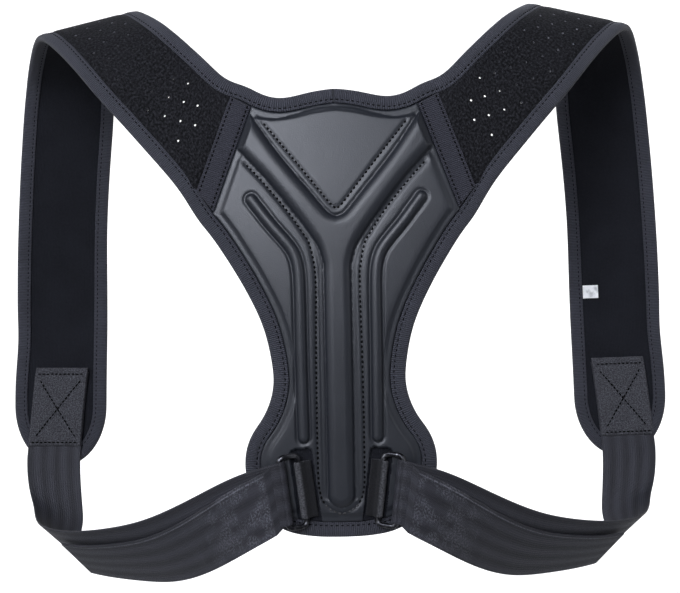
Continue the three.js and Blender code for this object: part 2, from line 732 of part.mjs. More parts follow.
// Recess in the cover round the ring's inner bar and tab.
function recessOutline() {
  const half = ringHalfHeight + RING_WIRE / 2 + RECESS_MARGIN;
  const inward = TAB_TAIL + RECESS_MARGIN;
  const outward = RING_WIRE / 2 + GAP + TAB_THICKNESS + RECESS_MARGIN;
  const corners = [
    [-inward, half - RECESS_CORNER],
    [-inward + RECESS_CORNER, half],
    [outward - RECESS_CORNER, half],
    [outward, half - RECESS_CORNER],
    [outward, -half + RECESS_CORNER],
    [outward - RECESS_CORNER, -half],
    [-inward + RECESS_CORNER, -half],
    [-inward, -half + RECESS_CORNER],
  ];
  return corners.map(([a, b]) => [
    innerBar.x + a * ringUp.z + b * ringUp.x,
    innerBar.z - a * ringUp.x + b * ringUp.z,
  ]);
}

function coverGeometry() {
  const outline = wholeOutline(halfOutline(COVER_INSET, TAPE_WIDTH / 2 + GAP));
  let cover = plate(outline, COVER_BASE, COVER_FACE, COVER_CHAMFER);
  const otherSide = (line) => line.map(([x, z]) => [-x, z]);
  const arm = placed(RIDGE_ARM);
  const rib = placed(RIB_LINE);
  const relief = [
    raisedForm(arm, RIDGE_WIDTH, RIDGE_HEIGHT, { start: true }),
    raisedForm(otherSide(arm), RIDGE_WIDTH, RIDGE_HEIGHT, { start: true }),
    raisedForm(placed(RIDGE_STEM), RIDGE_WIDTH, RIDGE_HEIGHT, { end: true }),
    raisedForm(rib, RIB_WIDTH, RIB_HEIGHT, { start: true, end: true }),
    raisedForm(otherSide(rib), RIB_WIDTH, RIB_HEIGHT, { start: true, end: true }),
  ];
  const clear = COVER_FACE + RIDGE_HEIGHT + 1;
  const field = plate(outline, COVER_BASE, clear);
  for (const form of relief) {
    cover = cover.add(form.intersect(field));
  }
  const recess = recessOutline();
  cover = cover.subtract(plate(recess, 0, clear));
  cover = cover.subtract(plate(otherSide(recess).reverse(), 0, clear));
  return bent(cover);
}

// Distance between two points of the flat panel.
function gapBetween([x0, z0], [x1, z1]) {
  return Math.hypot(x1 - x0, z1 - z0);
}

// One tape folded round the whole edge, from the neck, round each strap's end and along the bottom.
function bindingGeometry() {
  const half = halfOutline(EDGE, GAP / 2);
  const onPanel = ([x, z]) => ({ point: vector(x, bend(x, z), z), outward: panelNormal(x, z) });
  const alongStrap = (frame, side) => (a, b) =>
    offsetPoint(frame, side * (frame.width / 2 - (EDGE + a) * frame.oblique), b);
  const nearest = (corner) =>
    half.reduce((best, p) => (gapBetween(p, corner) < gapBetween(best, corner) ? p : best));
  const neckPart = [...offsetLine(neckEdge, EDGE).slice(1, -1), nearest(seamTop)].map(onPanel);
  const flankPart = [nearest(seamFoot), ...offsetLine(flankEdge, EDGE).slice(1, -1)].map(onPanel);
  const edgeOf = (side) => (distance) => {
    const frame = strapFrame(distance);
    const point = offsetPoint(frame, side * (frame.width / 2 - EDGE), 0);
    return { point, outward: frame.outward, ring: distance <= bodyEnd && alongStrap(frame, side) };
  };
  const neckSide = strapStations.map(edgeOf(-1));
  const armSide = [...strapStations].reverse().map(edgeOf(1));
  const onCentreLine = (z, side) => {
    const { point, outward } = onPanel([0, z]);
    return { point, outward, inward: vector(0, -outward.z, outward.y).multiplyScalar(side) };
  };
  const top = onCentreLine(half[0][1], 1);
  const bottom = onCentreLine(half[half.length - 1][1], -1);
  const edge = [top, ...neckPart, ...neckSide, ...armSide, ...flankPart, bottom];
  const leg = BINDING_WIDTH - EDGE;
  const outer = BACKING_THICKNESS + GAP;
  const section = [
    [-EDGE, -EDGE],
    [leg, -EDGE],
    [leg, -GAP],
    [-GAP, -GAP],
    [-GAP, outer],
    [leg, outer],
    [leg, outer + BINDING_THICKNESS],
    [-EDGE, outer + BINDING_THICKNESS],
  ];
  const rings = edge.map(({ point, outward, inward, ring }, k) => {
    if (ring) {
      return section.map(([a, b]) => ring(a, b));
    }
    let inside = inward;
    if (!inside) {
      const along = edge[k + 1].point.clone().sub(edge[k - 1].point).normalize();
      inside = along.cross(outward).normalize();
    }
    return section.map(([a, b]) => point.clone().addScaledVector(inside, a).addScaledVector(outward, b));
  });
  const right = loft(rings, undefined, true);
  return geometryOf(solid(mergeGeometries([right, mirrored(right)])));
}

// Tape over the seam between the panel and a strap, from one binding to the other.
function tapeGeometry() {
  const along = [(seamFoot[0] - seamTop[0]) / seamLength, (seamFoot[1] - seamTop[1]) / seamLength];
  const point = (distance, side) => [
    seamTop[0] + along[0] * distance - along[1] * side,
    seamTop[1] + along[1] * distance + along[0] * side,
  ];
  const inset = BINDING_WIDTH + TAPE_END_CLEARANCE;
  const corner = (start, direction, from, to, side) => {
    const edge = [to[0] - from[0], to[1] - from[1]];
    const forward = edge[0] * along[0] + edge[1] * along[1];
    const sideways = edge[1] * along[0] - edge[0] * along[1];
    const oblique = Math.hypot(...edge) / Math.abs(sideways);
    return point(start + direction * inset * oblique + (side * forward) / sideways, side);
  };
  const top = (side) => corner(0, 1, neckEdge[neckEdge.length - 2], seamTop, side);
  const foot = (side) => corner(seamLength, -1, flankEdge[1], seamFoot, side);
  const half = TAPE_WIDTH / 2;
  const outline = [top(half), foot(half), foot(-half), top(-half)];
  const inner = BACKING_THICKNESS + TAPE_LIFT;
  return bent(plate(outline, inner, inner + TAPE_THICKNESS));
}

function flatSection(width, inner, outer) {
  return [
    [-width / 2, inner],
    [-width / 2, outer],
    [width / 2, outer],
    [width / 2, inner],
  ];
}

// Stack on the skin side of a strap's end, measured outwards: webbing over the binding, patch over both.
const webOffset = -EDGE - GAP - WEB_THICKNESS / 2;
const patchOffset = -EDGE - GAP - WEB_THICKNESS - WEB_LAYER_GAP;

// The strap's surface under the patch and webbing, which lie a little aslant on it.
function patchFrame(distance) {
  const frame = seatedFrame(distance);
  const fromEnd = strapLength - distance;
  const shift = (PATCH_END + PATCH_LENGTH / 2 - fromEnd) * WEB_SLANT + WEB_OFF_CENTRE;
  frame.centre.addScaledVector(frame.across, shift);
  return frame;
}

// Stations between two distances: the ends, and the strap's own stations between them.
function stationsBetween(start, end) {
  return [start, ...strapStations.filter((station) => station > start + GAP && station < end - GAP), end];
}

function patchGeometry() {
  const start = strapLength - PATCH_END - PATCH_LENGTH;
  const section = flatSection(PATCH_WIDTH, patchOffset - PATCH_THICKNESS, patchOffset);
  const stations = stationsBetween(start, start + PATCH_LENGTH);
  return geometryOf(solid(strip(stations, patchFrame, () => section)));
}

// Webbing: one strip from under the patch, down and back under the arm, round the ring's outer bar, and
// back over itself to its free end.
const wrap = RING_WIRE / 2 + GAP + WEB_THICKNESS / 2;

function webbingRows() {
  const { lean } = STRAP_ROWS[STRAP_ROWS.length - 1];
  const onStrap = [2 * WEB_LEAVES, WEB_LEAVES].map((fromEnd) => {
    const point = offsetPoint(patchFrame(strapLength - fromEnd), 0, webOffset);
    return { x: point.x, y: point.y, z: point.z, lean, yaw: 0, width: WEB_WIDTH };
  });
  const strapEnd = onStrap[onStrap.length - 1];
  const ringEnd = outerBar.clone().addScaledVector(ringOut, -wrap);
  const free = WEB_ROWS.map(({ across, depth, sag, lean, yaw }) => ({
    x: THREE.MathUtils.lerp(ringEnd.x, strapEnd.x, across),
    y: THREE.MathUtils.lerp(ringEnd.y, strapEnd.y, depth),
    z: THREE.MathUtils.lerp(ringEnd.z, strapEnd.z, across) - sag * WEB_SAG,
    lean,
    yaw,
    width: WEB_WIDTH,
  }));
  const { x, y, z } = ringEnd;
  return [...onStrap, ...free, { x, y, z, lean: RING_LEAN, yaw: ringYaw, width: WEB_WIDTH }];
}

function webbingGeometry() {
  const rows = webbingRows();
  const end = rows.length - 1;
  const frames = [];
  const start = strapLength - PATCH_END - PATCH_LENGTH + WEB_START;
  for (const distance of stationsBetween(start, strapLength - WEB_LEAVES)) {
    const frame = patchFrame(distance);
    frames.push({ ...frame, centre: offsetPoint(frame, 0, webOffset) });
  }
  for (let k = WEB_STEPS + 1; k < end * WEB_STEPS; k++) {
    frames.push(frameAt(rows, k / WEB_STEPS));
  }
  for (let k = 0; k <= WRAP_STEPS; k++) {
    const turn = (Math.PI * k) / WRAP_STEPS;
    const outward = ringOut.clone().multiplyScalar(Math.cos(turn));
    outward.addScaledVector(ringSide, Math.sin(turn));
    const centre = outerBar.clone().addScaledVector(outward, -wrap);
    frames.push({ centre, across: ringUp, outward });
  }
  const closest = WEB_THICKNESS + WEB_LAYER_GAP;
  const steps = (TAIL_ROWS.length - 1) * WEB_STEPS;
  for (let k = 0; k <= steps; k++) {
    const value = (key) => between(TAIL_ROWS.map((row) => row[key]), k / WEB_STEPS);
    const under = frameAt(rows, end - value("back"));
    const lift = closest + (2 * wrap - closest) * Math.max(value("lift"), 0);
    const centre = offsetPoint(under, -value("slip") * WEB_TAIL_SHIFT, lift);
    frames.push({ centre, across: under.across, outward: under.outward.clone().negate() });
  }
  const section = flatSection(WEB_WIDTH, -WEB_THICKNESS / 2, WEB_THICKNESS / 2);
  const rings = frames.map((frame) => section.map(([a, b]) => offsetPoint(frame, a, b)));
  return geometryOf(solid(loft(rings, section)));
}

// Wire ring: a rectangle with round corners, in the plane of the ring's two directions.
function ringGeometry() {
  const halfWidth = RING_BAR_DISTANCE / 2;
  const middle = innerBar.clone().addScaledVector(ringSide, halfWidth);
  const path = [];
  for (let side = 0; side < 4; side++) {
    const signA = side === 0 || side === 3 ? 1 : -1;
    const signB = side < 2 ? 1 : -1;
    for (let k = 0; k <= RING_CORNER_STEPS; k++) {
      const angle = (Math.PI / 2) * (side + k / RING_CORNER_STEPS);
      const out = ringSide.clone().multiplyScalar(Math.cos(angle));
      out.addScaledVector(ringUp, Math.sin(angle));
      const point = middle
        .clone()
        .addScaledVector(ringSide, signA * (halfWidth - RING_CORNER))
        .addScaledVector(ringUp, signB * (ringHalfHeight - RING_CORNER))
        .addScaledVector(out, RING_CORNER);
      path.push({ point, out });
    }
  }
  const rings = path.map(({ point, out }) => {
    const ring = [];
    for (let k = 0; k < RING_SIDES; k++) {
      const angle = (2 * Math.PI * k) / RING_SIDES;
      const offset = out.clone().multiplyScalar(Math.cos(angle));
      offset.addScaledVector(ringOut, Math.sin(angle));
      ring.push(point.clone().addScaledVector(offset, RING_WIRE / 2));
    }
    return ring;
  });
  return geometryOf(solid(loft(rings)));
}

// Tab: cloth folded round the ring's inner bar, with both tails flat on the backing in the recess.
function tabGeometry() {
  const inner = RING_WIRE / 2 + GAP;
  const outer = inner + TAB_THICKNESS;
  const outside = [];
  for (let k = 0; k <= TAB_STEPS; k++) {
    const angle = -Math.PI / 2 + (Math.PI * k) / TAB_STEPS;
    outside.push([outer * Math.cos(angle), outer * Math.sin(angle)]);
  }
  const seam = -outer + 2 * TAB_THICKNESS;
  const fold = [[-TAB_TAIL, -outer], ...outside, [-TAB_WAIST, seam], [-TAB_TAIL, seam]];
  const side = vector(ringUp.z, 0, -ringUp.x);
  const make = (shape, half) => {
    const rings = [-half, half].map((height) =>
      shape.map(([a, b]) =>
        innerBar
          .clone()
          .addScaledVector(side, a)
          .addScaledVector(vector(0, -1, 0), b)
          .addScaledVector(ringUp, height),
      ),
    );
    return solid(loft(rings, shape));
  };
  const bore = [];
  for (let k = 0; k < TAB_BORE_STEPS; k++) {
    const angle = (2 * Math.PI * k) / TAB_BORE_STEPS;
    bore.push([inner * Math.cos(angle), inner * Math.sin(angle)]);
  }
  return geometryOf(make(fold, TAB_WIDTH / 2).subtract(make(bore, TAB_WIDTH)));
}

// Small blank label on the skin side of the right strap, beside the inner binding.
function labelGeometry() {
  const middle = strapLength - LABEL_FROM_END;
  const stations = stationsBetween(middle - LABEL_HEIGHT / 2, middle + LABEL_HEIGHT / 2);
  const sectionOf = (frame) => {
    const start = -frame.width / 2 + BINDING_WIDTH + GAP;
    return [
      [start, -LABEL_LIFT - LABEL_THICKNESS],
      [start, -LABEL_LIFT],
      [start + LABEL_WIDTH, -LABEL_LIFT],
      [start + LABEL_WIDTH, -LABEL_LIFT - LABEL_THICKNESS],
    ];
  };
  return geometryOf(solid(strip(stations, seatedFrame, sectionOf)));
}

// Materials
function finish(color, roughness, metalness = 0) {
  return new THREE.MeshStandardMaterial({ color, roughness, metalness });
}

const liningCloth = finish(0x1d1e22, 0.9);
const loopCloth = finish(0x17171b, 0.95);
const mouldedSkin = finish(0x33363d, 0.45);
const bindingTape = finish(0x34343c, 0.8);
const nylonWebbing = finish(0x303036, 0.6);
const patchCloth = finish(0x414146, 0.95);
const blackWire = finish(0x1b1b1e, 0.35, 0.8);
const tabCloth = finish(0x4b4b50, 0.85);
const whiteLabel = finish(0xe4e4e2, 0.7);

const part = new THREE.Group();

function addPiece(name, geometry, material) {
  const mesh = new THREE.Mesh(geometry, material);
  mesh.name = name;
  part.add(mesh);
}

function addPair(name, geometry, material) {
  addPiece(name + "_right", geometry, material);
  addPiece(name + "_left", mirrored(geometry), material);
}

const backingPlate = plate(wholeOutline(halfOutline(EDGE, GAP / 2)), 0, BACKING_THICKNESS);
addPiece("backing", bent(backingPlate), liningCloth);
addPiece("moulded_cover", coverGeometry(), mouldedSkin);
addPair("shoulder_strap", perforatedStrap(), loopCloth);
addPiece("edge_binding", bindingGeometry(), bindingTape);
addPair("seam_tape", tapeGeometry(), bindingTape);
addPair("anchor_patch", patchGeometry(), patchCloth);
addPair("side_webbing", webbingGeometry(), nylonWebbing);
addPair("ring", ringGeometry(), blackWire);
addPair("ring_tab", tabGeometry(), tabCloth);
addPiece("care_label", labelGeometry(), whiteLabel);

export default part;
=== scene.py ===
import math

import bpy
import numpy as np
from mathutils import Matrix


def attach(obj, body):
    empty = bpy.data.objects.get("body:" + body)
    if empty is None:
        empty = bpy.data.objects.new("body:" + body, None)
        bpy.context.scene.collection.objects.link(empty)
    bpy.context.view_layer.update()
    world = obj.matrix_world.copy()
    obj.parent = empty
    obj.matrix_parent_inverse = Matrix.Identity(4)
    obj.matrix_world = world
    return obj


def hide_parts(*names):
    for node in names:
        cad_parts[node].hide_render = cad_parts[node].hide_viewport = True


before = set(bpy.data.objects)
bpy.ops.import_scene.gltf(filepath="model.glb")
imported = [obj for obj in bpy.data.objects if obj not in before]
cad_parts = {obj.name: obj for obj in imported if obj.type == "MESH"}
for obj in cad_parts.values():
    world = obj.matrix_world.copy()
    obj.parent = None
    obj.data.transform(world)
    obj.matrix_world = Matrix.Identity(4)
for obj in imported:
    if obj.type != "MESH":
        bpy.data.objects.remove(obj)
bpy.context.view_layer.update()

# The lining layer of the back panel: soft knitted cloth over thin foam, cut to the panel's outline.
# It bends a little round the wearer's back, and everything else of the panel is sewn to its outer side.
# Sizes here and below are millimetres, and share tables hold shares of the named sizes.
MM = 0.001
PANEL_RISE = 137
PANEL_DROP = 134
PANEL_HALF_WIDTH = 83
UPPER_LEAN = 12
LOWER_LEAN = 3
SIDE_WRAP = 4
BACKING_THICKNESS = 2.6
BINDING_WIDTH = 9.4
BINDING_THICKNESS = 0.8
GAP = 0.3
EDGE = BINDING_THICKNESS + GAP
NECKLINE = {
    "across": [0, 0.16, 0.365, 0.5, 0.64],
    "height": [1, 0.987, 0.961, 0.973, 1.018],
}
FLANK = {
    "across": [1, 0.87, 0.675, 0.54, 0.479, 0.492, 0.552, 0.643, 0.69, 0.69, 0.645, 0.53, 0.38, 0.19, 0],
    "height": [
        0.419, 0.316, 0.122, -0.06, -0.252, -0.36, -0.452, -0.535,
        -0.62, -0.715, -0.825, -0.92, -0.975, -0.996, -1,
    ],
}


def between(values, t):
    """Catmull-Rom value of equally spaced rows at row numbers t, running straight on past both ends."""
    values = np.asarray(values, float)
    t = np.asarray(t, float)
    padded = np.concatenate([[2 * values[0] - values[1]], values, [2 * values[-1] - values[-2]]])
    i = np.clip(np.floor(t).astype(int), 0, len(values) - 2)
    u = t - i
    a, b, c, d = (padded[i + k] for k in range(4))
    return b + 0.5 * u * (c - a + u * (2 * a - 5 * b + 4 * c - d + u * (3 * (b - c) + d - a)))


def shares_to_line(table, steps):
    """Smooth flat line through a table's points, scaled by the panel's half width, rise and drop."""
    across = np.array(table["across"], float) * PANEL_HALF_WIDTH
    height = np.array(table["height"], float)
    height = np.where(height > 0, height * PANEL_RISE, height * PANEL_DROP)
    t = np.linspace(0, len(across) - 1, (len(across) - 1) * steps + 1)
    return np.stack([between(across, t), between(height, t)], 1)


def bend(x, z):
    """Depth of the bent panel: a parabola in height, steeper above the middle, and one in width."""
    lean = np.where(z > 0, UPPER_LEAN * (z / PANEL_RISE) ** 2, LOWER_LEAN * (z / PANEL_DROP) ** 2)
    return lean + SIDE_WRAP * (x / PANEL_HALF_WIDTH) ** 2


def panel_normal(x, z):
    """Outward normal of the bent panel, from the slopes of its two parabolas."""
    slope_x = 2 * SIDE_WRAP * x / PANEL_HALF_WIDTH**2
    slope_z = np.where(z > 0, 2 * UPPER_LEAN * z / PANEL_RISE**2, 2 * LOWER_LEAN * z / PANEL_DROP**2)
    return unit(np.stack([slope_x, -np.ones_like(slope_x), slope_z], -1))


def unit(vectors):
    """Vectors divided by their own lengths."""
    return vectors / np.linalg.norm(vectors, axis=-1, keepdims=True)


def over_panel(x, z, lift=0.0):
    """Points of the bent panel's skin side, lifted off it along its normal."""
    return np.stack([x, bend(x, z), z], -1) + np.asarray(lift)[..., None] * panel_normal(x, z)


def offset_line(line, distance):
    """Flat line moved to the right of its direction, by its finite-difference normal."""
    run = unit(np.gradient(line, axis=0))
    return line + distance * np.stack([run[:, 1], -run[:, 0]], 1)


def run_length(line):
    """Length of a line up to each of its points, as the running sum of its steps."""
    return np.concatenate([[0], np.cumsum(np.linalg.norm(np.diff(line, axis=0), axis=1))])


def read_at(at, length, columns):
    """Rows read from columns of values at some lengths, by linear interpolation."""
    return np.stack([np.interp(at, length, column) for column in columns.T], 1)


def resampled(line, count):
    """Points equally spaced along a line's length."""
    line = np.asarray(line, float)
    length = run_length(line)
    return read_at(np.linspace(0, length[-1], count), length, line)


NECK = shares_to_line(NECKLINE, 12)
SIDE = shares_to_line(FLANK, 6)
SEAM_TOP = NECK[-1]
SEAM_FOOT = SIDE[0]
FOOT_TURN = 0.9
NECK_POWER = 4
FOOT_POWER = 6
LINING_GRID = 150, 90


def panel_grid(edge_inset, seam_inset, rows, columns):
    """Flat grid over the panel, as rows of x and z. The rows run from side to side, straight but for a bow
    that follows the neck edge at the top and the bottom edge at the foot, and dies out by a power of the way
    down. The side is the seam and the flank, each moved inwards by its inset."""
    seam = resampled([2 * SEAM_TOP - SEAM_FOOT, 2 * SEAM_FOOT - SEAM_TOP], 400)
    seam = offset_line(seam, seam_inset)
    neck = offset_line(NECK, edge_inset)
    flank = offset_line(SIDE, edge_inset)
    top_corner = crossing(np.vstack([neck, neck[-1] + 3 * (neck[-1] - neck[-2])]), seam)
    foot_corner = crossing(seam, np.vstack([flank[0] + 3 * (flank[0] - flank[1]), flank]))
    below = flank[(flank[:, 1] < foot_corner[1]) & (flank[:, 0] >= 0)]
    turn = int(np.argmax(below[:, 1] < -FOOT_TURN * PANEL_DROP))
    side = resampled(np.vstack([top_corner, foot_corner, below[: turn + 1]]), rows)
    foot = below[turn:][::-1]
    share = np.linspace(-1, 1, columns)
    down = np.linspace(0, 1, rows)[:, None]
    neck_height = np.interp(np.abs(share) * side[0, 0], neck[:, 0], neck[:, 1]) - side[0, 1]
    foot_height = np.interp(np.abs(share) * side[-1, 0], foot[:, 0], foot[:, 1]) - side[-1, 1]
    x = side[:, :1] * share
    z = side[:, 1:] + neck_height * (1 - down) ** NECK_POWER + foot_height * down**FOOT_POWER
    return x, z


def crossing(first, second):
    """Point where two flat lines cross, from the pair of their segments that meet."""
    a, b = first[:-1, None], first[1:, None] - first[:-1, None]
    c, d = second[None, :-1], second[None, 1:] - second[None, :-1]
    cross = b[..., 0] * d[..., 1] - b[..., 1] * d[..., 0]
    cross = np.where(np.abs(cross) < 1e-12, 1e-12, cross)
    gap = c - a
    s = (gap[..., 0] * d[..., 1] - gap[..., 1] * d[..., 0]) / cross
    t = (gap[..., 0] * b[..., 1] - gap[..., 1] * b[..., 0]) / cross
    i, j = np.argwhere((s >= 0) & (s <= 1) & (t >= 0) & (t <= 1))[0]
    return first[i] + s[i, j] * (first[i + 1] - first[i])


def in_scene(name, data):
    """New object of the scene that holds a mesh, a light or a camera."""
    thing = bpy.data.objects.new(name, data)
    bpy.context.scene.collection.objects.link(thing)
    return thing


def surface(name, points, faces, uv, finishes, finish_of_face=None):
    """Smooth-shaded object from points in millimetres, quads and one flat coordinate for each point. Faces
    are turned round where the volume they enclose comes out negative."""
    points = points.reshape(-1, 3) * MM
    faces = np.asarray(faces, np.int64)
    p = points[faces]
    volume = np.einsum("ij,ij->i", p[:, 0], np.cross(p[:, 1], p[:, 2])).sum()
    volume += np.einsum("ij,ij->i", p[:, 0], np.cross(p[:, 2], p[:, 3])).sum()
    if volume < 0:
        faces = faces[:, ::-1]
    mesh = bpy.data.meshes.new(name)
    mesh.vertices.add(len(points))
    mesh.vertices.foreach_set("co", points.ravel())
    mesh.loops.add(faces.size)
    mesh.loops.foreach_set("vertex_index", faces.ravel())
    mesh.polygons.add(len(faces))
    mesh.polygons.foreach_set("loop_start", np.arange(0, faces.size, 4))
    mesh.polygons.foreach_set("use_smooth", np.ones(len(faces), bool))
    for finish in finishes:
        mesh.materials.append(finish)
    if finish_of_face is not None:
        mesh.polygons.foreach_set("material_index", finish_of_face.astype(np.int32))
    layer = mesh.uv_layers.new(name="cloth")
    layer.data.foreach_set("uv", (uv.reshape(-1, 2) * MM)[faces.ravel()].ravel())
    mesh.update(calc_edges=True)
    mesh.validate()
    return in_scene(name, mesh)


def numbered(*shape):
    """Numbers of a grid's points, in the order of the mesh."""
    return np.arange(math.prod(shape)).reshape(shape)


def quads(index):
    """Four-sided faces between neighbours in a grid of point numbers."""
    return np.stack([index[:-1, :-1], index[1:, :-1], index[1:, 1:], index[:-1, 1:]], -1).reshape(-1, 4)


def closing_in(count):
    """Shares from -1 to 1 that lie closer together near both ends, by a sine."""
    return np.sin(np.linspace(-math.pi / 2, math.pi / 2, count))


def flat_grid(across, along):
    """Flat coordinates of a grid, from its distances across and along."""
    return np.stack(np.broadcast_arrays(across, along), -1)


def slab(name, outer, inner, uv, finishes, marked=None):
    """Closed sheet between two grids of points of the same size: their faces, and a wall round the rim. The
    second finish, if there is one, goes on the inner side, or else on the outer side's marked faces."""
    index = numbered(*outer.shape[:2])
    under = index + index.size
    rim = np.concatenate([index[0, :-1], index[:-1, -1], index[-1, :0:-1], index[:0:-1, 0]])
    after = np.roll(rim, -1)
    wall = np.stack([rim, after, after + index.size, rim + index.size], -1)
    faces = np.vstack([quads(index), quads(under)[:, ::-1], wall])
    kind = np.zeros(len(faces))
    sheet = len(quads(index))
    if marked is not None:
        kind[:sheet] = marked.ravel()
    elif len(finishes) > 1:
        kind[sheet : 2 * sheet] = 1
    return surface(name, np.stack([outer, inner]), faces, np.stack([uv, uv]), finishes, kind)


def fitted(piece, node):
    """Has a piece ride on the part's one body and stand for its node."""
    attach(piece, "root")
    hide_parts(node)


def bell(distance, reach):
    """Bell curve, 1 at no distance and nearly 0 past twice the reach."""
    return np.exp(-((distance / reach) ** 2))


def rounded(distance, radius):
    """Height of a rounded edge, 0 at the edge and 1 past the radius, as a quarter circle."""
    return np.sqrt(1 - (1 - np.clip(distance / radius, 0, 1)) ** 2)


class Socket:
    """One output of a node, so that shader maths reads as plain expressions."""

    def __init__(self, finish, link):
        self.finish = finish
        self.link = link

    def math(self, operation, *values):
        return self.finish.node("Math", {"operation": operation}, [self, *values])

    def __add__(self, other):
        return self.math("ADD", other)

    __radd__ = __add__

    def __mul__(self, other):
        return self.math("MULTIPLY", other)

    __rmul__ = __mul__

    def __sub__(self, other):
        return self.math("SUBTRACT", other)

    def __rsub__(self, other):
        return self.finish.node("Math", {"operation": "SUBTRACT"}, [other, self])

    def wave(self, pitch):
        """Smooth ridges from 0 to 1, one for each pitch."""
        return (self * (2 * math.pi / pitch)).math("SINE") * 0.5 + 0.5

    def above(self, low, high):
        """0 below the low value, 1 above the high one, and smooth between them."""
        settings = {"interpolation_type": "SMOOTHSTEP"}
        return self.finish.node("MapRange", settings, {"Value": self, "From Min": low, "From Max": high})


class Finish:
    """A material with a Principled shader. Constants are set on the shader, and maps are linked to it."""

    def __init__(self, name, **constants):
        self.material = bpy.data.materials.new(name)
        self.material.use_nodes = True
        self.tree = self.material.node_tree
        self.shader = self.tree.nodes["Principled BSDF"]
        for key, value in constants.items():
            self.shader.inputs[key.replace("_", " ")].default_value = value

    def node(self, kind, settings, inputs, output=0):
        """Adds a node of a type, sets its settings, then gives its sockets values or links."""
        node = self.tree.nodes.new("ShaderNode" + kind)
        for key, value in settings.items():
            setattr(node, key, value)
        pairs = inputs.items() if isinstance(inputs, dict) else enumerate(inputs)
        for key, value in pairs:
            if isinstance(value, Socket):
                self.tree.links.new(value.link, node.inputs[key])
            else:
                node.inputs[key].default_value = value
        return Socket(self, node.outputs[output])

    def place(self):
        """Place on the piece, in metres, in the object's own frame."""
        return self.node("TexCoord", {}, {}, "Object")

    def across_and_along(self):
        """Distances across and along the cloth, in metres, from the piece's own flat coordinates."""
        both = self.node("UVMap", {"uv_map": "cloth"}, {})
        across = self.node("SeparateXYZ", {}, [both], "X")
        return both, across, self.node("SeparateXYZ", {}, [both], "Y")

    def noise(self, vector, size, detail=2, roughness=0.5):
        """Noise from 0 to 1 with features of about the given size in metres."""
        values = {"Vector": vector, "Scale": 1 / size, "Detail": detail, "Roughness": roughness}
        return self.node("TexNoise", {}, values)

    def cells(self, vector, size):
        """Distance to the nearest of scattered points, in cells of the given size in metres."""
        return self.node("TexVoronoi", {}, {"Vector": vector, "Scale": 1 / size})

    def tint(self, low, high, mix):
        """Colour between two, by a value from 0 to 1. Each is a plain colour or a link."""
        low, high = (c if isinstance(c, Socket) else (*c, 1) for c in (low, high))
        return self.node("Mix", {"data_type": "RGBA"}, {0: mix, 6: low, 7: high}, 2)

    def paint(self, low, high, mix):
        """Feeds the colour between two."""
        self.feed(Base_Color=self.tint(low, high, mix))

    def feed(self, **maps):
        """Links maps to the shader's sockets."""
        for key, value in maps.items():
            self.tree.links.new(value.link, self.shader.inputs[key.replace("_", " ")])

    def relief(self, height, distance, strength=1.0):
        """Feeds the normal from a height, 0 to 1, that stands for a distance in metres."""
        values = {"Height": height, "Distance": distance, "Strength": strength}
        self.feed(Normal=self.node("Bump", {}, values))


def lining_finish():
    """Knitted lining: fine wales with small loops, matt and nearly black."""
    finish = Finish("lining knit", Roughness=0.92, Specular_IOR_Level=0.12, Sheen_Weight=0.02)
    both, across, along = finish.across_and_along()
    loops = across.wave(0.0011) * 0.6 + (along + across.wave(0.0022) * 0.0002).wave(0.0009) * 0.4
    wear = finish.noise(both, 0.022, 3)
    fluff = finish.noise(both, 0.0016, 3)
    finish.paint((0.003, 0.003, 0.004), (0.017, 0.018, 0.023), wear * 0.4 + fluff * 0.6)
    finish.relief(loops * 0.7 + fluff * 0.6, 0.0004)
    return finish.material


lining_knit = lining_finish()
x, z = panel_grid(EDGE, GAP / 2, *LINING_GRID)
backing_sides = over_panel(x, z, BACKING_THICKNESS), over_panel(x, z)
backing = slab("lining_layer", *backing_sides, flat_grid(x, z), [lining_knit])
fitted(backing, "backing")

# The moulded cover: foam under a satin synthetic skin, pressed hot in one mould, so all its relief is one
# surface. A half-round ridge makes a Y, a slim rib runs on each side of it, and the fields between are
# gently domed. It is sewn down along the Y and has a hole at each ring for the tab.
COVER_BASE = BACKING_THICKNESS + GAP
COVER_THICKNESS = 2.2
COVER_INSET = BINDING_WIDTH + GAP
COVER_GRID = 300, 165
RECESS_FLOOR = 0.1
TAPE_WIDTH = 14
RIDGE_HEIGHT = 4.2
STEM_SHARE = 0.86
ARM_ROUND = 6.5
STEM_ROUND = 5.5
STEM_FOOT = -0.8 * PANEL_DROP
FORK_FOOT = 0.2 * PANEL_RISE
FORK_BLEND = 0.3 * PANEL_RISE
RIB_HEIGHT = 2.2
RIB_RADIUS = 3.2
GROOVE_DEPTH = 0.8
CHANNEL_DEPTH = 0.55
VALLEY_DEPTH = 0.5
STEP_HEIGHT = 1.1
STEP_ROUND = 2.4
DOME_HEIGHT = 0.7
FLANGE_WIDTH = 4.4
THINNEST = 0.5
RECESS_MARGIN = 1.6
RECESS_CORNER = 3
RING_WIRE = 3.2
RING_LEAN = 83
RING_ACROSS = 23.2
RING_BELOW = 104.6
RING_SLOPE_STEP = 36
RING_PLAY = 1.6
WEB_WIDTH = 38
TAB_THICKNESS = 1.2
TAB_TAIL = 7
RECESS_INWARD = TAB_TAIL + RECESS_MARGIN
RECESS_OUTWARD = RING_WIRE / 2 + GAP + TAB_THICKNESS + RECESS_MARGIN
ring_rows = np.array([-RING_BELOW, RING_SLOPE_STEP - RING_BELOW])
ring_slope = np.diff(bend(0 * ring_rows, ring_rows))[0] / RING_SLOPE_STEP
ring_lean, ring_yaw = math.radians(RING_LEAN), math.atan(ring_slope)


def across_way(lean, yaw):
    """Direction across a ribbon: turned by its lean in the back's plane, then out of that by its yaw."""
    return np.stack([np.cos(lean) * np.cos(yaw), np.sin(yaw), np.sin(lean) * np.cos(yaw)], -1)


